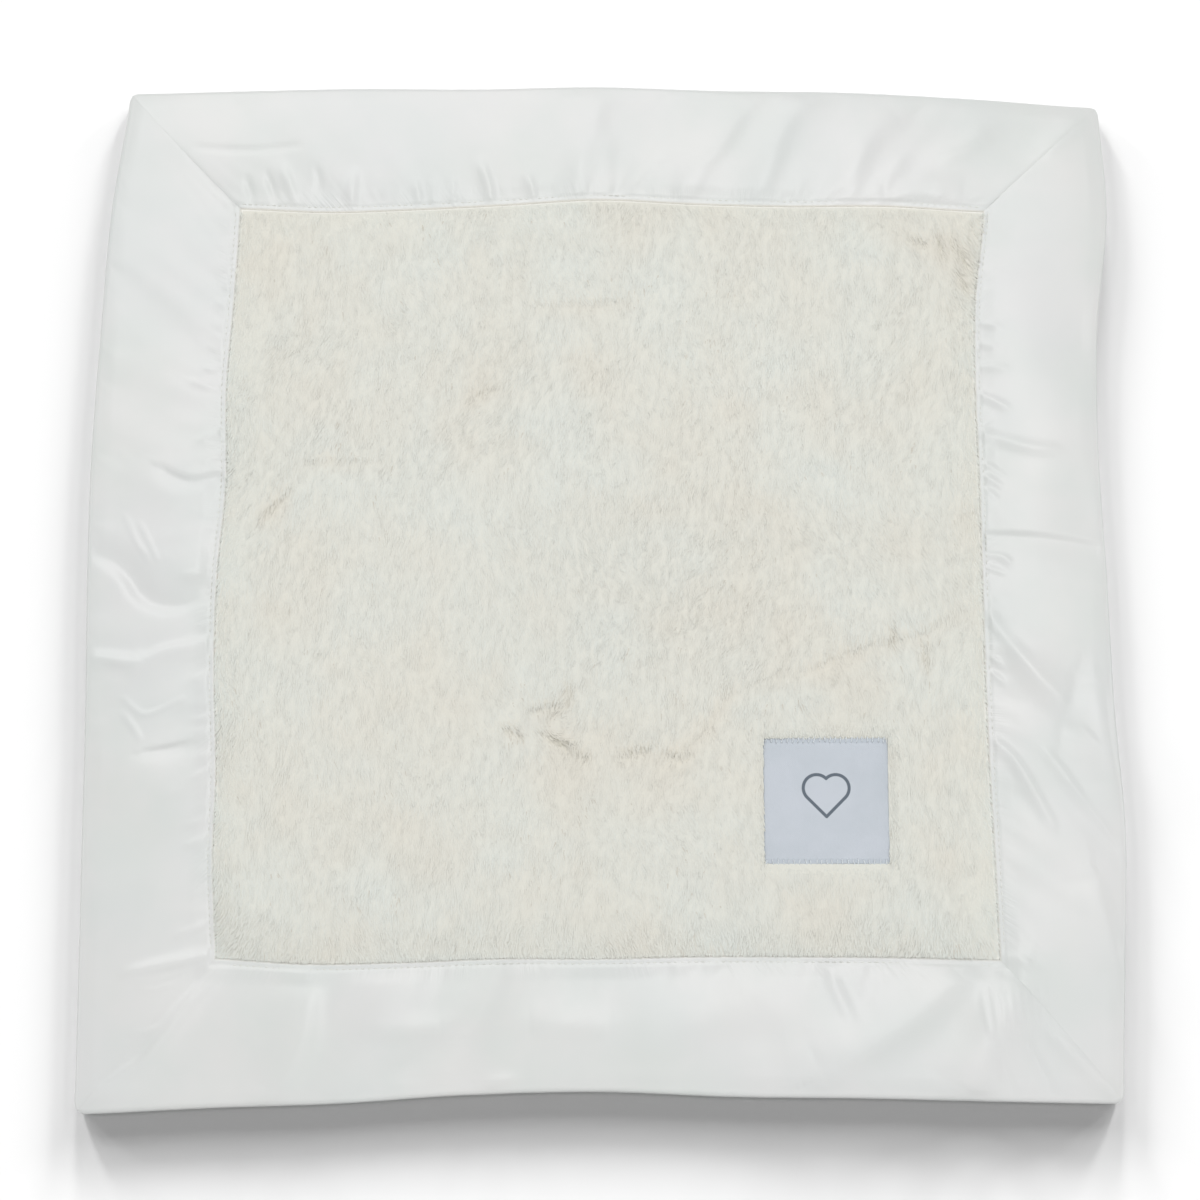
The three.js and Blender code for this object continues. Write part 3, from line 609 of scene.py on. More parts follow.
def binding_points(side):
    """The strip's outer face as fine rows of points, from the hem round the fold to the back leaf."""
    seam_rows = (BINDING - np.array(SEAM_STEPS)) / (BINDING - FOLD_RADIUS) * LEAF_ROWS
    leaf_rows = np.linspace(seam_rows[-1], LEAF_ROWS, LEAF_STEPS + 1)[1:]
    turn_rows = np.linspace(LEAF_ROWS, LEAF_ROWS + FOLD_ROWS, FOLD_STEPS + 1)[1:]
    rows = np.concatenate([seam_rows, leaf_rows, turn_rows])
    points = between(between(strips[side], rows, 0), np.linspace(0, STRIP_COLUMNS, FINE_COLUMNS + 1), 1)
    distance = BINDING - np.clip(rows, 0, LEAF_ROWS) / LEAF_ROWS * (BINDING - FOLD_RADIUS)
    shape_satin(side, *(points[:, :, k] for k in range(3)), rows, distance[:, None])
    return np.concatenate([strip_points(side, *zip(*HEM), FINE_COLUMNS), points, back_leaf(side)])


def cloth_piece(name, points, thickness):
    piece, _, _ = grid_object(name, points)
    thicken(piece, thickness)
    return piece


binding = {side: cloth_piece("satin_binding_" + side, binding_points(side), SATIN_THICKNESS)
           for side in SIDES}

PANEL_STILL = PLUSH_HALF - 8
panel_lines = np.concatenate([np.linspace(-PANEL_EDGE, -PANEL_STILL, 28)[:-1],
                              np.linspace(-PANEL_STILL, PANEL_STILL, 60),
                              np.linspace(PANEL_STILL, PANEL_EDGE, 28)[1:]])
backing = cloth_piece("satin_backing", sheet_points(panel_lines, backing_top), BACKING_THICKNESS)
ground = cloth_piece("plush_ground", sheet_points(panel_lines, ground_top), KNIT_THICKNESS)

# Pile

STRANDS = 115000
STRAND_REACH = 4.6
# Half width of a strand at its bend, how much more it is at most, and its share at root, bend and tip
STRAND_WIDTH = 0.2
STRAND_WIDTH_SPREAD = 0.1
STRAND_TAPER = (0.8, 1.0, 0.0)
STRAND_FLATNESS = 0.13
# A strand's normals lean this far upwards, because pile scatters light between its fibres
STRAND_UP = np.array([0.0, 0.0, 2.4])
PILE_PIECES = 8
PILE_TOP = 9.7
# Rolls of the pile, as (height, size, seed)
PILE_ROLLS = ((0.4, 24, 71), (0.2, 9, 72))
# Broad swells of the pile, as (x and y in shares of the plush, reach in the same, height)
PILE_SWELLS = ((-0.45, 0.5, 0.35, 0.5), (0.4, 0.35, 0.3, 0.6), (-0.05, -0.4, 0.22, -0.7),
               (-0.6, -0.35, 0.3, 0.5), (0.72, -0.18, 0.2, 0.8))
SEAM_TOPS = {"top": 4.3, "bottom": 4.22, "left": 4.13, "right": 4.13}
SEAM_RISES = {"top": 17, "bottom": 21, "left": 15, "right": 15}
PILE_OVER_LABEL = 0.05
# The dense pile lies this far under the tips, and is sewn down in a groove at the seam
BODY_DEPTH = 0.13
GROOVE_START = 0.17
GROOVE_HEIGHT = 3.65
GROOVE_SLOPE = 4.5
UNDER_SATIN = 2.7
BODY_RIM = (-3.2, -2.0, -1.1, -0.65, -0.4, -0.28, -0.17, 0.5, 1.2)
BODY_LINES = 196
LABEL_RIM = (-0.8, -0.5, -0.3, -0.12, 0.0, 0.12, 0.3, 0.5, 0.8)
CLUMP = (1.5, 3.0)


def seam_gaps(x, y):
    return {"top": PLUSH_HALF - y, "bottom": PLUSH_HALF + y, "left": PLUSH_HALF + x, "right": PLUSH_HALF - x}


def label_gap(x, y):
    """Distance outside the label's edges in the row frame, negative within it."""
    return np.maximum(np.abs(x - label_middle[0]) - (label_high[0] - label_low[0]) / 2,
                      np.abs(y - label_middle[1]) - (label_high[1] - label_low[1]) / 2)


def parting_marks(px, py):
    """How deep the pile is parted at places of the row frame, how near a parting is, and which side of it."""
    depth, near, lean = (np.zeros(px.shape) for _ in range(3))
    for deep, points in PARTINGS:
        gap, along = beside_line(px, py, smooth_line(points, 10))
        taper = np.clip(np.sin(math.pi * (0.05 + 0.9 * along)), 0, 1) ** 0.5
        depth += deep * taper * hill(gap, 1.3)
        close = taper * hill(gap, 4)
        lean += 0.3 * min(deep, 1.5) * close * gap / (np.abs(gap) + 1.5)
        near += close
    return depth, near, lean


def pile_top(x, y):
    """Height of the pile's top at points of the pattern."""
    top = PILE_TOP + sum(height * soft_noise(x, y, size, seed) for height, size, seed in PILE_ROLLS)
    top += 0.07 * soft_noise(x * 2.2, y, 4.4, 75)
    for cx, cy, reach, height in PILE_SWELLS:
        away = np.hypot(x - cx * PLUSH_HALF, y - cy * PLUSH_HALF)
        top += height * hill(away, reach * PLUSH_HALF)
    for side, gap in seam_gaps(x, y).items():
        rise = 1 - (1 - ramp(gap, 0, SEAM_RISES[side])) ** 2
        past = 0.18 * np.clip(-gap, 0, 6)
        top = np.minimum(top, SEAM_TOPS[side] + (top - SEAM_TOPS[side]) * rise + past)
    px, py = laid(x, y)
    top = top - 0.12 * np.clip(parting_marks(px, py)[1], 0, 1)
    return np.minimum(top, label_high[2] + PILE_OVER_LABEL + 0.4 * np.clip(label_gap(px, py), 0, None))


def coat_tone(x, y):
    """Slow changes of the pile's tone over the pattern, low where it's beige and high where it's grey."""
    return 0.55 + 0.19 * soft_noise(x, y, 26, 51) + 0.1 * soft_noise(x, y, 9, 52)


def from_whorl(px, py):
    return px - WHORL[0] - SHIFT[0], py - WHORL[1] - SHIFT[1]


def whorl_darkening(px, py):
    """How much darker and more beige the pile is made, at its most beside the whorl."""
    wx, wy = from_whorl(px, py)
    return np.exp(-((wx - 4) / 26) ** 2 - ((wy + 4) / 11) ** 2)


def body_top(x, y, px, py):
    """Height of the dense pile under the loose tips. It dips at partings and runs under satin and label."""
    parted, _, _ = parting_marks(px, py)
    grain = 0.08 * soft_noise(x * 3.6, y, 3.6, 73) + 0.06 * soft_noise(x * 2, y, 1.8, 74)
    top = pile_top(x, y) - BODY_DEPTH + grain - 0.5 * parted
    for gap in seam_gaps(x, y).values():
        hidden = UNDER_SATIN + 0.3 * np.clip(gap, -2, 0)
        groove = GROOVE_HEIGHT + GROOVE_SLOPE * (gap - GROOVE_START)
        top = np.minimum(top, np.where(gap < 0.1, hidden, groove))
    gap = label_gap(px, py)
    beside = np.where(gap < -0.05, label_low[2] - 0.5, label_high[2] - 0.2 + 0.45 * gap)
    return np.where(gap < 4, np.minimum(top, beside), top)


def label_lines(axis):
    """Places of the pattern's lines that frame the label's edges, for a close edge to the pile round it."""
    places = []
    for edge in (label_low[axis], label_high[axis]):
        inward = label_middle.copy()
        inward[axis] = edge
        guess = inward[:2] - SHIFT
        for _ in range(4):
            guess = guess + inward[:2] - np.array(laid(*guess))
        places.append(guess[axis] + np.array(LABEL_RIM))
    return places


def close_underneath(mesh, height):
    """Closes a grid downwards with a flat underside, and turns its faces outwards."""
    bm = bmesh.new()
    bm.from_mesh(mesh)
    rim = [e for e in bm.edges if e.is_boundary]
    grown = bmesh.ops.extrude_edge_only(bm, edges=rim)
    for vertex in picked(grown, bmesh.types.BMVert):
        vertex.co.z = height * MM
    bmesh.ops.holes_fill(bm, edges=picked(grown, bmesh.types.BMEdge), sides=0)
    bmesh.ops.recalc_face_normals(bm, faces=bm.faces)
    if bm.calc_volume(signed=True) < 0:
        bmesh.ops.reverse_faces(bm, faces=bm.faces)
    bm.to_mesh(mesh)
    bm.free()


def pile_body():
    """The dense pile as a closed pad on the ground."""
    rim = PLUSH_HALF + np.array(BODY_RIM)
    inside = np.linspace(-rim[0] + 1.3, rim[0] - 1.3, BODY_LINES)
    lines = [np.sort(np.concatenate([-rim, inside, rim, *label_lines(axis)])) for axis in (0, 1)]
    x, y = np.meshgrid(*lines)
    px, py = laid(x, y)
    piece, i, j = grid_object("plush_dense_pile", np.stack([px, py, body_top(x, y, px, py)], 2))
    close_underneath(piece.data, float(ground_top(x, y)[0, 0] - 0.35))
    parted, near, _ = parting_marks(px, py)
    # Painted shade along the partings: the tone drops to the darker beige beside them, and the parted share
    # below takes the dense pile to a painted shade colour. Beside the whorl the tone drops as well.
    tones = coat_tone(x, y) - 0.3 * np.clip(near, 0, 1) - 0.3 * whorl_darkening(px, py)
    # Painted light: near the seams the dense pile is painted paler, to lift the shade in the seam's groove.
    painted_light_at_seam = ramp(np.min(list(seam_gaps(x, y).values()), axis=0), 0.9, 0.4)
    for key, values in (("tone", tones), ("parted", parted / 1.8), ("edge", painted_light_at_seam)):
        whole = np.zeros(len(piece.data.vertices), np.float32)
        whole[:i.size] = np.clip(values, 0, 1)[i, j]
        piece.data.attributes.new(key, "FLOAT", "POINT").data.foreach_set("value", whole)
    return piece


dense_pile = pile_body()


def clump_of(x, y):
    """The nearest of the jittered clumps to each place: where it stands, and four traits of its own."""
    rng = np.random.default_rng(11)
    jitter = rng.uniform(0.1, 0.9, (256, 256, 2))
    traits = rng.uniform(-1, 1, (256, 256, 4))
    ci, cj = np.floor(x / CLUMP[0]).astype(int), np.floor(y / CLUMP[1]).astype(int)
    best = np.full(x.size, 1e9)
    cx, cy = x.copy(), y.copy()
    trait = np.zeros((x.size, 4))
    for di in (-1, 0, 1):
        for dj in (-1, 0, 1):
            i, j = (ci + di) % 256, (cj + dj) % 256
            tx = (ci + di + jitter[i, j, 0]) * CLUMP[0]
            ty = (cj + dj + jitter[i, j, 1]) * CLUMP[1]
            gap = ((x - tx) / CLUMP[0]) ** 2 + ((y - ty) / CLUMP[1]) ** 2
            nearer = gap < best
            best = np.where(nearer, gap, best)
            cx, cy = np.where(nearer, tx, cx), np.where(nearer, ty, cy)
            trait = np.where(nearer[:, None], traits[i, j], trait)
    return cx, cy, trait


def strand_roots(rng):
    """Where the strands stand on the pattern and in the row frame: all over but under satin and label."""
    across = int(round(math.sqrt(STRANDS)))
    grid = (np.arange(across) + 0.5) / across * 2 - 1
    x, y = (a.ravel() for a in np.meshgrid(grid, grid))
    span = PLUSH_HALF + 1.0
    cell = 2 * span / across
    x = x * span + rng.uniform(-0.5, 0.5, x.size) * cell
    y = y * span + rng.uniform(-0.5, 0.5, x.size) * cell + 1.2
    px, py = laid(x, y)
    below_label = (py < label_low[1] + 3) & (np.abs(px - label_middle[0]) < 24)
    keep = (label_gap(px, py) > np.where(below_label, -1.3, 0.1)) & (y < PLUSH_HALF + 0.5)
    keep &= (np.abs(x) < PLUSH_HALF - 0.15) & (y > -PLUSH_HALF + 0.6)
    return x[keep], y[keep], px[keep], py[keep]


def held_back(reach, over, share):
    """A strand's reach less what goes over an edge, where share of the reach runs across that edge."""
    return np.clip(reach - np.clip(over, 0, None) / np.clip(np.abs(share), 0.2, 1), 0.8, None)


def pile_strands():
    """Roots, bends and tips of the pile's strands, in millimetres in the row frame, with each one's tone."""
    rng = np.random.default_rng(7)
    x, y, px, py = strand_roots(rng)
    cx, cy, trait = clump_of(x, y)
    parted, near_parting, lean = parting_marks(px, py)
    # Which way the pile lies: towards the bottom edge, swayed by the cloth and by hands
    turn = (0.3 * soft_noise(cx, cy, 60, 31) + 0.3 * soft_noise(cx, cy, 17, 32) + lean
            + 0.16 * trait[:, 0] + 0.12 * rng.normal(size=x.size))
    turn += 0.8 * np.exp(-((px - 142) ** 2 + (py - 132) ** 2) / 22 ** 2)
    upright = np.exp(-((cx - 18) / 48) ** 4 - ((cy + 2) / 32) ** 4)
    turn += 0.5 * upright * trait[:, 2]
    reach = STRAND_REACH * np.clip(1 + 0.12 * trait[:, 1] + 0.15 * rng.normal(size=x.size), 0.4, 1.4)
    reach *= 1 - 0.25 * upright
    wx, wy = from_whorl(px, py)
    swirl = 0.85 * np.exp(-(wx ** 2 + wy ** 2) / 9 ** 2)
    angle, around = -math.pi / 2 + turn, np.arctan2(wy, wx) + 2.3
    dx = np.cos(angle) * (1 - swirl) + np.cos(around) * swirl
    dy = np.sin(angle) * (1 - swirl) + np.sin(around) * swirl
    # Outwards beside the left and right seams, where the pile spreads over the satin
    for side, gap in ((-1, PLUSH_HALF + x), (1, PLUSH_HALF - x)):
        dx += side * 0.55 * np.exp(-np.clip(gap, 0, None) / 2.5)
    size = np.hypot(dx, dy)
    dx, dy = dx / size, dy / size
    # The pile stops just past the bottom seam, over the satin at the sides, and just over the label's edges
    spill = 1.0 * np.exp(-np.hypot(x - PLUSH_HALF, y - PLUSH_HALF + 2) / 4)
    dx += 1.1 * spill / 6 * (0.4 + 0.6 * rng.random(x.size))
    dy += 1.3 * spill / 6 * (0.4 + 0.6 * rng.random(x.size))
    reach *= 1 + 0.1 * spill * (2 * rng.random(x.size) - 0.6)
    side_over = np.abs(x + dx * reach) - PLUSH_HALF - 0.4 - 1.1 * rng.random(x.size) ** 2 - spill
    end_over = -PLUSH_HALF - y - dy * reach - 0.35 - 0.4 * rng.random(x.size)
    reach = held_back(held_back(reach, side_over, dx), end_over, dy)
    over = 0.2 + 0.9 * rng.random(x.size) ** 2
    for share in (0.8, 0.6, 0.4, 0.2):
        within = label_gap(px + dx * reach, py + dy * reach) < -over
        reach = np.where(within, np.minimum(reach, STRAND_REACH * share), reach)
    # Strands of a clump draw together towards their tips
    px_clump, py_clump = laid(cx, cy)
    pull = np.where(label_gap(px, py) > 3, 0.2 + 0.08 * trait[:, 2], 0)
    lift = 0.03 * trait[:, 3] + 0.025 * rng.normal(size=x.size) + 0.08 * upright * rng.random(x.size)
    steps = []
    for share, drop in ((0.0, 0.0), (0.45, 0.04), (1.0, 0.12)):
        step_x, step_y = dx * reach * share, dy * reach * share
        marked, _, _ = parting_marks(px + step_x, py + step_y)
        surface = pile_top(x + step_x, y + step_y) - 0.4 * np.clip(marked, 0, 1.5)
        z = surface - drop + lift * (0.6 + share) if share else body_top(x, y, px, py) - 0.35
        steps.append(np.stack([px + step_x + share * pull * (px_clump - px),
                               py + step_y + 0.3 * share * pull * (py_clump - py), z], 1))
    roots, bends, tips = steps
    bends[:, 2] = np.where(label_gap(px, py) < 0.1, np.minimum(bends[:, 2], label_low[2]), bends[:, 2])
    # Painted shade along the partings: the tone drops where the pile is parted and beside the partings. It
    # drops also beside the whorl.
    tone = (coat_tone(x, y) + 0.05 * trait[:, 3] + 0.04 * rng.normal(size=x.size) - 0.1 * parted
            - 0.3 * np.clip(near_parting, 0, 1) - 0.3 * whorl_darkening(px, py))
    # Here and there a strand is painted dark, as painted shade for a pit where the tips lie apart.
    crowd = soft_noise(x, y, 5, 53) + 0.5 * soft_noise(x, y, 40, 54) - 0.15 * (x + y) / PLUSH_HALF
    shaded_gap = (crowd > 1.0) & (rng.random(x.size) < 0.05) | (rng.random(x.size) < 0.0004)
    shaded_gap |= (parted > 0.8) & (rng.random(x.size) < 0.3)
    # Painted light: strands near the seams, and those of the corner tuft, are painted paler to lift the shade
    # at the seams; no dark strands are put there.
    seam_lightening = np.exp(-np.clip(PLUSH_HALF - np.maximum(np.abs(x), -y), 0, None) / 3)
    tone = np.where(shaded_gap & (seam_lightening < 0.3), 0.01, np.clip(tone + 0.4 * seam_lightening + 0.08 * spill, 0.13, 0.99))
    return roots, bends, tips, tone, rng


def template_parts(bm):
    """What a mesh is copied from: its vertices' levels and angles, and its faces."""
    bmesh.ops.recalc_face_normals(bm, faces=bm.faces)
    bm.verts.index_update()
    co = np.array([v.co for v in bm.verts])
    faces = [[v.index for v in f.verts] for f in bm.faces]
    bm.free()
    return np.rint(co[:, 2]).astype(int), np.arctan2(co[:, 1], co[:, 0]), faces


def copies_mesh(name, co, faces, smooth):
    """Copies of a few faces as one mesh, each with its own points, and the vertex at each face's corners."""
    count, per = co.shape[:2]
    corners = np.concatenate(faces)
    starts = np.cumsum([0] + [len(f) for f in faces[:-1]])
    copy = np.arange(count)[:, None]
    mesh = bpy.data.meshes.new(name)
    mesh.vertices.add(count * per)
    mesh.vertices.foreach_set("co", (co * MM).astype(np.float32).ravel())
    mesh.loops.add(count * len(corners))
    mesh.loops.foreach_set("vertex_index", (corners + per * copy).astype(np.int32).ravel())
    mesh.polygons.add(count * len(faces))
    mesh.polygons.foreach_set("loop_start", (starts + len(corners) * copy).ravel())
    mesh.polygons.foreach_set("use_smooth", np.tile(smooth, count))
    mesh.update(calc_edges=True)
    return mesh, corners


def set_map(mesh, first, second):
    values = np.stack([first, second], 1).astype(np.float32).ravel()
    mesh.uv_layers.new(name=UV_NAME).data.foreach_set("uv", values)


def strand_template():
    """One tapering strand of three sides, bent once."""
    bm = bmesh.new()
    bmesh.ops.create_circle(bm, cap_ends=True, segments=3, radius=1)
    first = bmesh.ops.extrude_face_region(bm, geom=bm.faces[:], use_keep_orig=True)
    bmesh.ops.translate(bm, verts=picked(first, bmesh.types.BMVert), vec=(0, 0, 1))
    upper = picked(first, bmesh.types.BMFace)
    second = bmesh.ops.extrude_face_region(bm, geom=upper)
    bmesh.ops.delete(bm, geom=upper, context="FACES_ONLY")
    point = picked(second, bmesh.types.BMVert)
    bmesh.ops.translate(bm, verts=point, vec=(0, 0, 1))
    bmesh.ops.pointmerge(bm, verts=point, merge_co=(0, 0, 2))
    return template_parts(bm)


def strand_mesh(name, rows, roots, bends, tips, widths, tones):
    """All of a piece's strands as one mesh. The map holds each strand's tone and the place along it."""
    level, angle, faces = strand_template()
    path = [roots[rows], bends[rows], tips[rows]]
    sideways = path[2] - path[0]
    sideways = np.stack([-sideways[:, 1], sideways[:, 0], np.zeros(len(rows))], 1)
    sideways /= np.clip(np.linalg.norm(sideways, axis=1, keepdims=True), 1e-6, None)
    run = path[2] - path[1]
    run /= np.linalg.norm(run, axis=1, keepdims=True)
    lift = np.cross(run, sideways)
    co = np.empty((len(rows), len(level), 3))
    normals = np.empty(co.shape)
    for k, at in enumerate(level):
        width = widths[rows, None] * STRAND_TAPER[at]
        side, up = -math.cos(angle[k]), -math.sin(angle[k])
        co[:, k] = path[at] + width * (side * sideways + STRAND_FLATNESS * up * lift)
        facing = lift + STRAND_UP if up > 0 or at == 2 else -lift
        normals[:, k] = 0.25 * side * sideways * (at < 2) + facing
    normals /= np.linalg.norm(normals, axis=2, keepdims=True)
    mesh, corners = copies_mesh(name, co, faces, [True] * len(faces))
    mesh.normals_split_custom_set_from_vertices(normals.reshape(-1, 3).tolist())
    place = np.array([0.02, 0.55, 0.98])[level[corners]]
    set_map(mesh, np.repeat(tones[rows], len(corners)), np.tile(place, len(rows)))
    return mesh


def make_pile():
    roots, bends, tips, tone, rng = pile_strands()
    widths = STRAND_WIDTH + STRAND_WIDTH_SPREAD * rng.random(tone.size)
    pieces = []
    for half in np.array_split(np.argsort(roots[:, 0]), 2):
        for part in np.array_split(half[np.argsort(roots[half, 1])], PILE_PIECES // 2):
            name = "plush_pile_%d" % (len(pieces) + 1)
            mesh = strand_mesh(name, np.sort(part), roots, bends, tips, widths, tone)
            pieces.append(new_object(name, mesh))
    return pieces


pile = make_pile()

# Label and threads

LABEL_SIDE = label_high[0] - label_low[0]
LABEL_THICKNESS = 0.45
LABEL_LINES = 61
STITCH_PITCH = 2.6
STITCH_GAP = 0.55
THREAD_RADIUS = 0.2
# Heights of a stitch's five points, in shares of how far its ends sink
STITCH_ARCH = np.array([-1.0, -0.15, 0.0, -0.15, -1.0])
# A seam stops this far short of the next seam
SEAM_END = 2
# Heights of the seams' stitches at their middles, and how far their ends sink
NEEDLE_HEIGHT = FRONT_HEIGHTS[-1][1] - THREAD_DENT + 0.14
NEEDLE_SAG = 0.42
BOBBIN_HEIGHT = 0.45
BOBBIN_SAG = -0.3
MITRE_SEAM = (7.0, 43.0)
UNDER_MITRE = 1.9
OVERCAST_RADIUS = 0.3
OVERCAST_PITCH = 2.05


def label_points():
    """The label's top: nearly flat, sunk along its left and right sides and at its top left corner."""
    half = LABEL_SIDE / 2
    lines = np.linspace(-half, half, LABEL_LINES)
    x, y = np.meshgrid(lines, lines)
    z = label_high[2] + 0.25 * soft_noise(x, y, 30, 81) - 0.25
    z -= 0.45 * hill(np.hypot(x + half, y - half), 7)
    z -= 0.2 * hill(half - np.abs(x), 0.9)
    edge = 0.12 * soft_noise(x, y, 12, 82)
    return np.stack([x + label_middle[0] + edge * (np.abs(x) / half) ** 6,
                     y + label_middle[1] + edge * (np.abs(y) / half) ** 6, z], 2)


label_grid = label_points()
label, _, _ = grid_object("woven_label", label_grid)
thicken(label, LABEL_THICKNESS)


def tube_template(rings, sides):
    """A length of thread with flat ends."""
    bm = bmesh.new()
    bmesh.ops.create_circle(bm, cap_ends=False, segments=sides, radius=1)
    edges = bm.edges[:]
    for _ in range(rings - 1):
        grown = bmesh.ops.extrude_edge_only(bm, edges=edges)
        edges = picked(grown, bmesh.types.BMEdge)
        bmesh.ops.translate(bm, verts=picked(grown, bmesh.types.BMVert), vec=(0, 0, 1))
    bmesh.ops.holes_fill(bm, edges=bm.edges, sides=sides)
    return template_parts(bm)


def thread_mesh(name, paths, radius, sides=6):
    """Stitches as one mesh. Each path is a row of points in millimetres, and all have the same number."""
    paths = np.asarray(paths, float)
    count, rings = paths.shape[:2]
    level, angle, faces = tube_template(rings, sides)
    tangent = np.gradient(paths, axis=1)
    tangent /= np.linalg.norm(tangent, axis=2, keepdims=True)
    across = np.cross(tangent, np.array([0.0, 0.0, 1.0]))
    across /= np.clip(np.linalg.norm(across, axis=2, keepdims=True), 1e-6, None)
    lift = np.cross(across, tangent)
    swell = np.full(rings, radius)
    swell[0] = swell[-1] = 0.55 * radius
    co = np.empty((count, len(level), 3))
    for k, at in enumerate(level):
        outwards = math.cos(angle[k]) * lift[:, at] + math.sin(angle[k]) * across[:, at]
        co[:, k] = paths[:, at] + swell[at] * outwards
    mesh, corners = copies_mesh(name, co, faces, [len(f) == 4 for f in faces])
    set_map(mesh, np.tile(level[corners] / (rings - 1), count),
            np.tile((angle[corners] + math.pi) / (2 * math.pi), count))
    return new_object(name, mesh)


def seam_stitches(name, side, height, sag):
    """Stitches of one side's seam. height gives the middle of a stitch, and its ends sink by sag."""
    line = PLUSH_HALF + STITCH_INSET
    paths = []
    for k in range(int(2 * (line - SEAM_END) / STITCH_PITCH)):
        start = -line + SEAM_END + k * STITCH_PITCH + STITCH_GAP / 2
        places = np.linspace(start, start + STITCH_PITCH - STITCH_GAP, len(STITCH_ARCH))
        x, y = laid(*turned(side, places, np.full(places.size, line)))
        paths.append(np.stack([x, y, height + STITCH_ARCH * sag], 1))
    return thread_mesh(name, paths, THREAD_RADIUS)


topstitch, bobbin = {}, {}
for side in SIDES:
    topstitch[side] = seam_stitches("needle_thread_" + side, side, NEEDLE_HEIGHT, NEEDLE_SAG)
    bobbin[side] = seam_stitches("back_thread_" + side, side, BOBBIN_HEIGHT, BOBBIN_SAG)


def mitre_stitches(name, sx, sy):
    """Stitches of a corner's seam, just under the satin."""
    paths = []
    for start in np.arange(*MITRE_SEAM, STITCH_PITCH):
        distance = np.linspace(start, start + STITCH_PITCH - STITCH_GAP, 5)
        reach = BLANKET_HALF - distance
        x, y = laid(sx * reach, sy * reach)
        z = smooth_knots(FRONT_HEIGHTS, distance) - UNDER_MITRE
        paths.append(np.stack([x, y, z + np.array([-0.3, -0.05, 0, -0.05, -0.3])], 1))
    return thread_mesh(name, paths, THREAD_RADIUS)


mitre = {(end, side): mitre_stitches("corner_thread_%s_%s" % (end, side), sx, sy)
         for end, sy in (("top", 1), ("bottom", -1)) for side, sx in (("left", -1), ("right", 1))}


def overcast(name, sign, seed):
    """Overcast stitches over the label's top or bottom edge, from the pile into the label."""
    rng = np.random.default_rng(seed)
    half = LABEL_SIDE / 2
    edge = label_middle[1] + sign * half
    heights = label_grid[-1 if sign > 0 else 0, :, 2]
    paths = []
    for place in np.arange(-half + 1.2, half - 0.8, OVERCAST_PITCH):
        x = label_middle[0] + place + rng.normal() * 0.15
        slant = rng.normal() * 0.3 + (0.35 if sign > 0 else 0.1)
        z = heights[int(round((place + half) / LABEL_SIDE * (LABEL_LINES - 1)))]
        outside, inside = 0.75 + 0.15 * rng.normal(), 1.75 + 0.2 * rng.normal()
        paths.append([(x + slant, edge + sign * outside, z - 1.0),
                      (x + slant * 0.8, edge + sign * outside * 0.75, z - 0.15),
                      (x + slant * 0.4, edge, z + 0.2),
                      (x, edge - sign * inside * 0.55, z + 0.24),
                      (x - slant * 0.3, edge - sign * inside * 0.9, z + 0.12),
                      (x - slant * 0.35, edge - sign * inside, z - 0.25)])
    return thread_mesh(name, paths, OVERCAST_RADIUS, 7)


label_stitch = {"top": overcast("overcast_thread_top", 1, 91),
                "bottom": overcast("overcast_thread_bottom", -1, 92)}

# Materials


def new_group(name, inputs, outputs):
    group = bpy.data.node_groups.new(name, "ShaderNodeTree")
    for direction, sockets in (("INPUT", inputs), ("OUTPUT", outputs)):
        for label_text, kind in sockets:
            group.interface.new_socket(name=label_text, in_out=direction, socket_type="NodeSocket" + kind)
    return group, group.nodes.new("NodeGroupInput"), group.nodes.new("NodeGroupOutput")


def feed(tree, value, socket):
    """Gives an input a value, or another node's output."""
    if isinstance(value, bpy.types.NodeSocket):
        tree.links.new(value, socket)
    else:
        socket.default_value = value


def node(tree, kind, settings=(), **inputs):
    """A shader node with its settings and inputs. An input is a value or another node's output."""
    made = tree.nodes.new("ShaderNode" + kind)
    for key, value in dict(settings).items():
        setattr(made, key, value)
    for key, value in inputs.items():
        numbered = key[0] == "i" and key[1:].isdigit()
        feed(tree, value, made.inputs[int(key[1:]) if numbered else key.replace("_", " ")])
    return made


def maths(tree, operation, *values):
    made = node(tree, "Math", {"operation": operation}, **{"i%d" % k: v for k, v in enumerate(values)})
    return made.outputs[0]


def plus(tree, first, second):
    return maths(tree, "ADD", first, second)


def minus(tree, first, second):
    return maths(tree, "SUBTRACT", first, second)


def times(tree, first, second):
    return maths(tree, "MULTIPLY", first, second)


def blend(tree, share, first, second):
    made = node(tree, "Mix", {"data_type": "RGBA"}, i0=share, i6=first, i7=second)
    return made.outputs[2]


def smooth_share(tree, value, start, end, most=1.0):
    """0 up to the start, the most from the end on, and smooth between them."""
    made = node(tree, "MapRange", {"interpolation_type": "SMOOTHSTEP"}, i0=value, i1=start, i2=end, i4=most)
    return made.outputs[0]


def fine_weave_group():
    """Height of a weave: warp and weft ribs that pass over each other by turns."""
    group, given, out = new_group("fine weave", (("Vector", "Vector"), ("Pitch", "Float")),
                                  (("Height", "Float"),))
    apart = node(group, "SeparateXYZ", Vector=given.outputs["Vector"])
    u, v = (times(group, maths(group, "DIVIDE", apart.outputs[k], given.outputs["Pitch"]), math.pi)
            for k in (0, 1))
    warp = maths(group, "ABSOLUTE", maths(group, "SINE", u))
    weft = maths(group, "ABSOLUTE", maths(group, "SINE", v))
    over = times(group, maths(group, "SINE", u), maths(group, "SINE", v))
    pick = maths(group, "GREATER_THAN", over, 0.0)
    height = plus(group, times(group, warp, pick), times(group, weft, minus(group, 1.0, pick)))
    group.links.new(height, out.inputs[0])
    return group


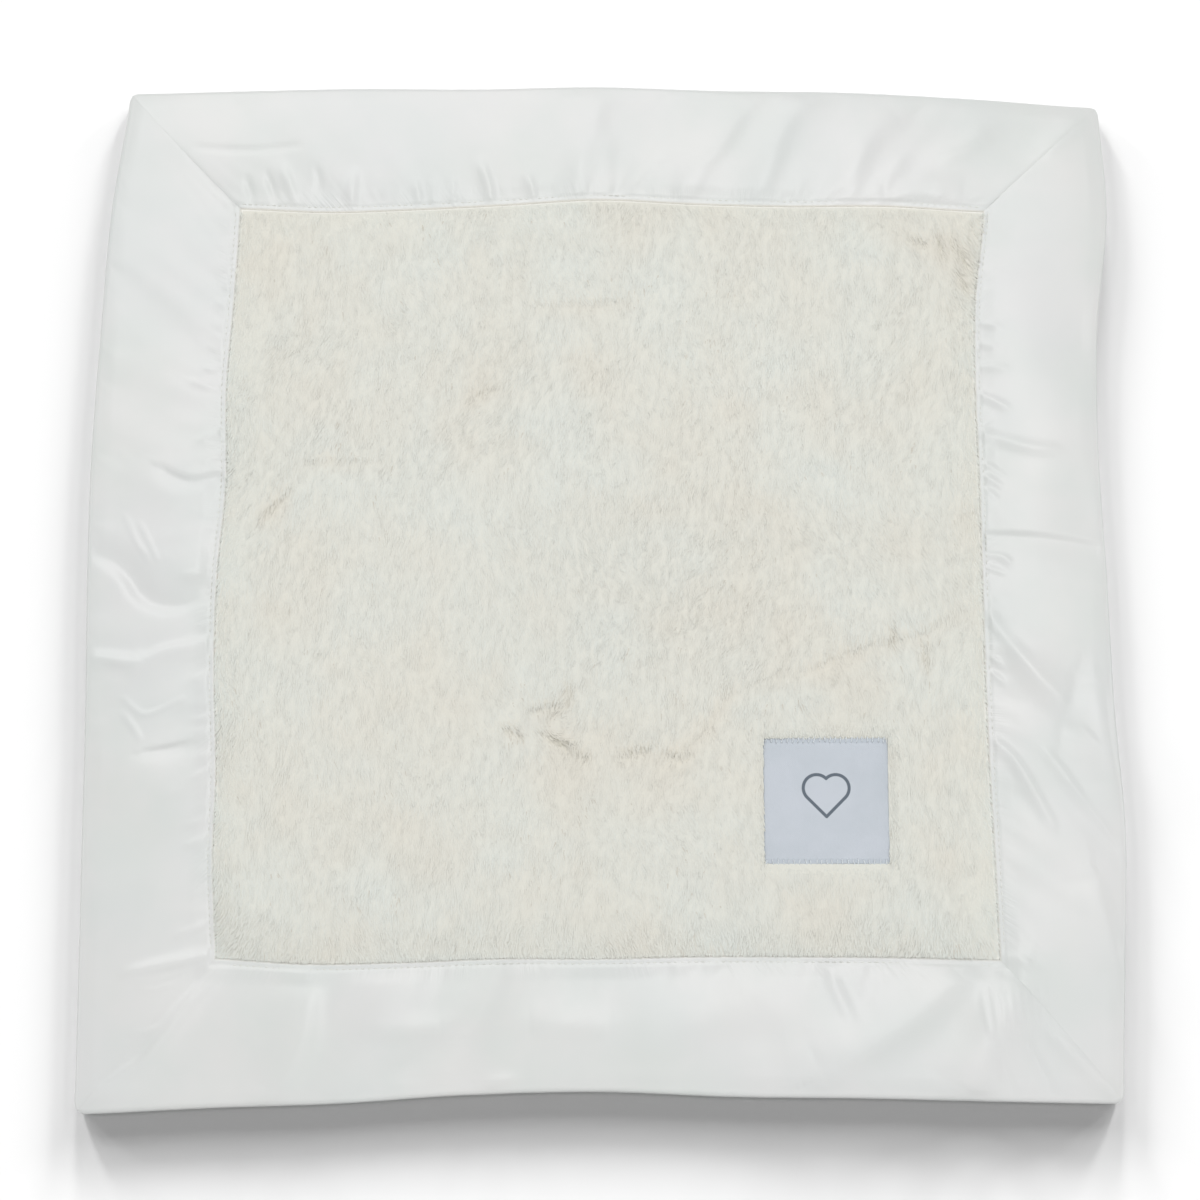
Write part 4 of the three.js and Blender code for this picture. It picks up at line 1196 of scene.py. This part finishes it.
def soft_patches_group():
    """Slow variation over the cloth, from 0 to 1, with finer mottling in it."""
    group, given, out = new_group("soft patches", (("Vector", "Vector"), ("Size", "Float")),
                                  (("Share", "Float"),))
    scale = maths(group, "DIVIDE", 1.0, given.outputs["Size"])
    made = node(group, "TexNoise", Vector=given.outputs["Vector"], Scale=scale, Detail=3.0, Roughness=0.55)
    group.links.new(smooth_share(group, made.outputs[0], 0.3, 0.7), out.inputs[0])
    return group


def gathers_group():
    """Height of the small gathers that a seam draws up, fading from it. The map runs along and across."""
    group, given, out = new_group("seam gathers", (("Vector", "Vector"), ("Seam", "Float")),
                                  (("Height", "Float"),))
    apart = node(group, "SeparateXYZ", Vector=given.outputs["Vector"])
    along = plus(group, apart.outputs[0], times(group, apart.outputs[1], 0.25))
    stretched = node(group, "CombineXYZ", X=times(group, along, 230.0),
                     Y=times(group, apart.outputs[1], 18.0))
    ripple = node(group, "TexNoise", Vector=stretched.outputs[0], Scale=1.0, Detail=2.0)
    slow = node(group, "CombineXYZ", X=times(group, apart.outputs[0], 16.0))
    where = node(group, "TexNoise", Vector=slow.outputs[0], Scale=1.0, Detail=1.0)
    share = smooth_share(group, where.outputs[0], 0.42, 0.62)
    away = maths(group, "ABSOLUTE", minus(group, apart.outputs[1], given.outputs["Seam"]))
    fade = smooth_share(group, away, 0.024, 0.004)
    group.links.new(times(group, times(group, ripple.outputs[0], share), fade), out.inputs[0])
    return group


fine_weave = fine_weave_group()
soft_patches = soft_patches_group()
seam_gathers = gathers_group()


def new_material(name):
    material = bpy.data.materials.new(name)
    material.use_nodes = True
    return material, material.node_tree, material.node_tree.nodes["Principled BSDF"]


def use(tree, group, **inputs):
    made = tree.nodes.new("ShaderNodeGroup")
    made.node_tree = group
    for key, value in inputs.items():
        feed(tree, value, made.inputs[key])
    return made.outputs[0]


def object_place(tree):
    return tree.nodes.new("ShaderNodeTexCoord").outputs["Object"]


def map_place(tree):
    return node(tree, "UVMap", {"uv_map": UV_NAME}).outputs[0]


def set_plain(shader, **values):
    for key, value in values.items():
        shader.inputs[key.replace("_", " ")].default_value = value


def set_surface(tree, shader, colour, bump, **values):
    """Gives a surface its colour, its bump if it has one, and its plain values."""
    tree.links.new(colour, shader.inputs["Base Color"])
    if bump:
        tree.links.new(bump.outputs[0], shader.inputs["Normal"])
    set_plain(shader, **values)


SATIN = (0.706, 0.709, 0.694, 1)
SATIN_COOL = (0.656, 0.683, 0.661, 1)
SATIN_LILAC = (0.70, 0.705, 0.722, 1)
# Painted shade: a darker beige laid on the satin's welt beside the seam, under the overhanging pile.
SATIN_SEAM_SHADE = (0.74, 0.712, 0.645, 1)
# Painted light: a pale colour laid beside the seams, on the dense pile and on the satin hem's nose, to lift
# the shade in the groove.
SEAM_PAINTED_LIGHT = (0.93, 0.92, 0.87, 1)
# Where the map has the seam, the welt beside it and the hem's nose, across a strip
SEAM_AT = 0.014
WELT_AT = (0.0145, 0.0118)
NOSE_AT = (0.0112, 0.0102)
# Pile colours, each from beige to grey
PILE_TIPS = ((0.775, 0.743, 0.658, 1), (0.759, 0.788, 0.742, 1))
# Painted shade: the roots are coloured a little darker, for the shade deep in the pile.
PILE_ROOT_SHADE = ((0.76, 0.726, 0.637, 1), (0.747, 0.773, 0.722, 1))
# Painted shade: the colour of a strand that stands for a shadowed pit between the tips.
PILE_GAP_SHADE = (0.665, 0.64, 0.565, 1)
DENSE_DARK = ((0.735, 0.70, 0.612, 1), (0.73, 0.745, 0.686, 1))
DENSE_PALE = ((0.805, 0.775, 0.69, 1), (0.79, 0.815, 0.767, 1))
# Painted shade for the dense pile where it is parted.
DENSE_PARTING_SHADE = (0.60, 0.58, 0.495, 1)
KNIT = ((0.74, 0.68, 0.55, 1), (0.68, 0.62, 0.49, 1))
# Each thread's colour, and a darker one painted as shade in the grooves between its plies.
WHITE_THREAD = ((0.76, 0.77, 0.73, 1), (0.62, 0.63, 0.58, 1))
BLUE_THREAD = ((0.68, 0.72, 0.75, 1), (0.58, 0.63, 0.67, 1))
LABEL_GROUND = ((0.553, 0.592, 0.647, 1), (0.514, 0.558, 0.607, 1))
# Painted shade: a darker band under the overcast stitches, in the gaps between them.
LABEL_STITCH_SHADE = (0.49, 0.535, 0.585, 1)
LABEL_HEM = (0.42, 0.46, 0.50, 1)
HEART = (0.075, 0.10, 0.13, 1)
# The heart: how many would fill the label's side, how far its point is below the middle, and half its line
HEARTS_WIDE = 3.3
HEART_DROP = 0.42
HEART_LINE = 0.042


def satin_material(name, seam=None):
    """Satin with its weave. Where it has a seam across the map, it has gathers, painted shade on the welt
    beside the seam and painted light on the hem's nose.
    """
    material, tree, shader = new_material(name)
    share = use(tree, soft_patches, Vector=object_place(tree), Size=0.045)
    lilac = use(tree, soft_patches, Vector=object_place(tree), Size=0.075)
    colour = blend(tree, times(tree, lilac, 0.3), blend(tree, share, SATIN, SATIN_COOL), SATIN_LILAC)
    weave = use(tree, fine_weave, Vector=map_place(tree), Pitch=0.0005)
    bump = node(tree, "Bump", Strength=0.05, Distance=0.0001, Height=weave)
    if seam is not None:
        across = node(tree, "SeparateXYZ", Vector=map_place(tree)).outputs[1]
        # Painted shade on the welt beside the seam.
        colour = blend(tree, smooth_share(tree, across, *WELT_AT, 0.7), colour, SATIN_SEAM_SHADE)
        # Painted light on the hem's nose, which lies in the shade of the seam's groove.
        colour = blend(tree, smooth_share(tree, across, *NOSE_AT), colour, SEAM_PAINTED_LIGHT)
        gathers = use(tree, seam_gathers, Vector=map_place(tree), Seam=seam)
        bump = node(tree, "Bump", Strength=0.4, Distance=0.0008, Height=gathers, Normal=bump.outputs[0])
    gloss = node(tree, "MapRange", i0=share, i3=0.28, i4=0.32)
    tree.links.new(gloss.outputs[0], shader.inputs["Roughness"])
    set_surface(tree, shader, colour, bump, Specular_IOR_Level=0.5, Sheen_Weight=0.08, Sheen_Roughness=0.4)
    return material


def pile_material():
    """Cream pile, with painted shade at the roots that gives way to the paler tips. The map gives each
    strand's tone and the place along it.
    """
    material, tree, shader = new_material("cream pile")
    apart = node(tree, "SeparateXYZ", Vector=map_place(tree))
    tips = blend(tree, apart.outputs[0], *PILE_TIPS)
    deep = blend(tree, apart.outputs[0], *PILE_ROOT_SHADE)
    # A tone near 0 gives a strand the painted shade of a pit.
    shaded_gap = node(tree, "MapRange", i0=apart.outputs[0], i1=0.03, i2=0.1, i3=1.0, i4=0.0)
    coat = blend(tree, smooth_share(tree, apart.outputs[1], 0.0, 0.6), deep, tips)
    set_surface(tree, shader, blend(tree, shaded_gap.outputs[0], coat, PILE_GAP_SHADE), None,
                Roughness=0.8, Specular_IOR_Level=0.2, Sheen_Weight=0.1, Sheen_Roughness=0.5)
    return material


def dense_pile_material():
    """Fine fibres that run down the blanket, with slow changes of tone, painted shade at the partings and
    painted light beside the seams.
    """
    material, tree, shader = new_material("dense pile")
    tone, parted, edge = (node(tree, "Attribute", {"attribute_name": name}).outputs["Fac"]
                          for name in ("tone", "parted", "edge"))
    stretched = node(tree, "Mapping", Vector=object_place(tree), Scale=(3600, 620, 620))
    fibres = node(tree, "TexNoise", Vector=stretched.outputs[0], Scale=1.0, Detail=2.0, Distortion=0.4)
    coat = blend(tree, fibres.outputs[0], blend(tree, tone, *DENSE_DARK), blend(tree, tone, *DENSE_PALE))
    # Painted shade where the pile is parted, and painted light beside the seams.
    coat = blend(tree, edge, blend(tree, parted, coat, DENSE_PARTING_SHADE), SEAM_PAINTED_LIGHT)
    bump = node(tree, "Bump", Strength=0.5, Distance=0.0002, Height=fibres.outputs[0])
    set_surface(tree, shader, coat, bump, Roughness=0.9, Specular_IOR_Level=0.2, Sheen_Weight=0.1)
    return material


def cloth_material(name, colours, pitch, size, strength, roughness):
    material, tree, shader = new_material(name)
    share = use(tree, soft_patches, Vector=object_place(tree), Size=size)
    weave = use(tree, fine_weave, Vector=map_place(tree), Pitch=pitch)
    bump = node(tree, "Bump", Strength=strength, Distance=0.0003, Height=weave)
    set_surface(tree, shader, blend(tree, share, *colours), bump, Roughness=roughness, Sheen_Weight=0.1)
    return material


def thread_material(name, colours):
    """Twisted thread: slanting plies along each stitch's own map, with painted shade in the grooves between
    them.
    """
    material, tree, shader = new_material(name)
    apart = node(tree, "SeparateXYZ", Vector=map_place(tree))
    slant = plus(tree, times(tree, apart.outputs[0], 5.0), times(tree, apart.outputs[1], 2.0))
    ply = maths(tree, "ABSOLUTE", maths(tree, "SINE", times(tree, slant, math.pi)))
    pale, ply_groove_shade = colours
    bump = node(tree, "Bump", Strength=0.5, Distance=0.0001, Height=ply)
    # The grooves between the plies take the darker colour, as painted shade.
    set_surface(tree, shader, blend(tree, ply, ply_groove_shade, pale), bump, Roughness=0.5)
    return material


def heart_mask(tree, x, y, half_line):
    """1 on a heart's outline, 0 elsewhere. The heart is about 1 wide and stands on its point at y = 0."""

    def length(px, py):
        return maths(tree, "SQRT", plus(tree, times(tree, px, px), times(tree, py, py)))

    side = maths(tree, "ABSOLUTE", x)
    lobe = minus(tree, length(minus(tree, side, 0.25), minus(tree, y, 0.75)), math.sqrt(2) / 4)
    notch = length(side, minus(tree, y, 1.0))
    half_sum = times(tree, maths(tree, "MAXIMUM", plus(tree, side, y), 0.0), 0.5)
    flank = length(minus(tree, side, half_sum), minus(tree, y, half_sum))
    nearest = maths(tree, "MINIMUM", notch, flank)
    body = times(tree, nearest, maths(tree, "SIGN", minus(tree, side, y)))
    upper = maths(tree, "GREATER_THAN", plus(tree, side, y), 1.0)
    gap = plus(tree, times(tree, lobe, upper), times(tree, body, minus(tree, 1.0, upper)))
    return smooth_share(tree, maths(tree, "ABSOLUTE", gap), half_line * 1.25, half_line * 0.75)


def label_material():
    """The label's weave with darker hems at its edges, painted shade in a band along its top and bottom edges
    under the overcast stitches, and a plain heart outline.
    """
    material, tree, shader = new_material("woven label")
    place = node(tree, "SeparateXYZ", Vector=map_place(tree))
    side = LABEL_SIDE / MAP_SPAN
    x, y = (minus(tree, maths(tree, "DIVIDE", place.outputs[k], side), 0.5) for k in (0, 1))
    heart = heart_mask(tree, times(tree, x, HEARTS_WIDE), plus(tree, times(tree, y, HEARTS_WIDE), HEART_DROP),
                       HEART_LINE)
    share = use(tree, soft_patches, Vector=object_place(tree), Size=0.02)
    hem = smooth_share(tree, maths(tree, "ABSOLUTE", x), 0.485, 0.498)
    # Painted shade along the top and bottom edges, between the overcast stitches.
    stitch_shade_band = smooth_share(tree, maths(tree, "ABSOLUTE", y), 0.455, 0.468)
    colour = blend(tree, stitch_shade_band, blend(tree, share, *LABEL_GROUND), LABEL_STITCH_SHADE)
    colour = blend(tree, heart, blend(tree, hem, colour, LABEL_HEM), HEART)
    weave = use(tree, fine_weave, Vector=map_place(tree), Pitch=0.0009)
    bump = node(tree, "Bump", Strength=0.25, Distance=0.00015, Height=plus(tree, weave, heart))
    set_surface(tree, shader, colour, bump, Roughness=0.45, Sheen_Weight=0.1)
    return material


satin = satin_material("binding satin", SEAM_AT)
backing_satin = satin_material("backing satin")
cream_pile = pile_material()
dense = dense_pile_material()
knit = cloth_material("knitted ground", KNIT, 0.0022, 0.02, 0.5, 0.9)
white_thread = thread_material("sewing thread", WHITE_THREAD)
blue_thread = thread_material("label thread", BLUE_THREAD)
label_weave = label_material()

# Floor, lamps and world

floor_mesh = bpy.data.meshes.new("floor")
bm = bmesh.new()
bmesh.ops.create_grid(bm, x_segments=1, y_segments=1, size=6.0)
bm.to_mesh(floor_mesh)
bm.free()
floor = new_object("floor", floor_mesh)
floor.location.z = -0.0002
floor_material, tree, shader = new_material("pale floor")
FLOOR_GREY = 0.82
set_plain(shader, Base_Color=(FLOOR_GREY, FLOOR_GREY, FLOOR_GREY, 1), Roughness=1.0, Specular_IOR_Level=0.0)
floor_mesh.materials.append(floor_material)

world = bpy.data.worlds.new("studio")
scene.world = world
world.use_nodes = True
tree = world.node_tree
seen = tree.nodes.new("ShaderNodeLightPath")
direct = maths(tree, "MAXIMUM", seen.outputs["Is Camera Ray"],
               maths(tree, "MAXIMUM", seen.outputs["Is Glossy Ray"], seen.outputs["Is Transmission Ray"]))
strength = node(tree, "MapRange", i0=direct, i3=0.3, i4=1.0)
tree.nodes["Background"].inputs["Color"].default_value = (1, 1, 1, 1)
tree.links.new(strength.outputs[0], tree.nodes["Background"].inputs["Strength"])


def linked_only(lamp, target, state):
    group = bpy.data.collections.new(lamp.name + " lights")
    group.objects.link(target)
    group.collection_objects[0].light_linking.link_state = state
    lamp.light_linking.receiver_collection = group


# Soft lamps over and beside the blanket, as (name, place, size, power)
SOFT_LAMPS = (
    ("top light", (-0.7, 1.9, 2.6), (2.6, 2.0), 46),
    ("fill light", (0.9, -1.2, 2.8), (3.6, 3.6), 38.2),
    ("window light", (0.25, 0.6, 3.0), (1.0, 1.0), 14),
    ("left rim light", (-3.0, -0.2, 0.35), (2.0, 0.5), 8),
    ("right rim light", (3.0, -0.2, 0.35), (2.0, 0.5), 8),
    ("front rim light", (0.4, -3.0, 0.35), (2.0, 0.5), 8),
)
for name, place, size, power in SOFT_LAMPS:
    light = bpy.data.lights.new(name, "AREA")
    light.shape = "RECTANGLE"
    light.size, light.size_y = size
    light.energy = power
    lamp = new_object(name, light)
    lamp.location = place
    lamp.rotation_euler = (-Vector(place)).to_track_quat("-Z", "Y").to_euler()
    linked_only(lamp, floor, "EXCLUDE")

# The backdrop's own light comes low from behind, and gives the floor its shadow.
# Each row is (bearing, elevation, share), and stands for both hands.
BACKDROP_LIGHTS = ((0, 8, 0.135), (25, 9, 0.147), (50, 8.5, 0.048), (37, 13, 0.046), (30, 20, 0.049),
                   (75, 38, 0.029))
for bearing, elevation, share in BACKDROP_LIGHTS:
    for hand in (-1, 1) if bearing else (1,):
        low, turn_by = math.radians(elevation), math.radians(hand * bearing)
        light = bpy.data.lights.new("backdrop light %d %d" % (hand * bearing, elevation), "SUN")
        light.energy = share * math.pi / FLOOR_GREY / math.sin(low)
        light.angle = math.radians(8)
        lamp = new_object(light.name, light)
        towards = Vector((-math.sin(turn_by) * math.cos(low), -math.cos(turn_by) * math.cos(low),
                          -math.sin(low)))
        lamp.rotation_euler = towards.to_track_quat("-Z", "Y").to_euler()
        linked_only(lamp, floor, "INCLUDE")

# Which piece is which


def finish(piece, material, slot, *nodes):
    piece.data.materials.clear()
    piece.data.materials.append(material)
    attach(piece, "root")
    if nodes:
        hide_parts(*nodes)


for side in SIDES:
    finish(binding[side], satin, "binding_satin", "binding_" + side)
    finish(topstitch[side], white_thread, "sewing_thread", "topstitch_" + side)
    finish(bobbin[side], white_thread, "sewing_thread", "bobbin_thread_" + side)
for (end, side), piece in mitre.items():
    finish(piece, white_thread, "sewing_thread", "mitre_thread_%s_%s" % (end, side))
for end, piece in label_stitch.items():
    finish(piece, blue_thread, "label_thread", "label_stitch_" + end)
finish(label, label_weave, "label_weave", "label")
finish(backing, backing_satin, "backing_satin", "backing_panel")
finish(ground, knit, "plush", "fur_panel")
finish(dense_pile, dense, "plush")
for piece in pile:
    finish(piece, cream_pile, "plush")
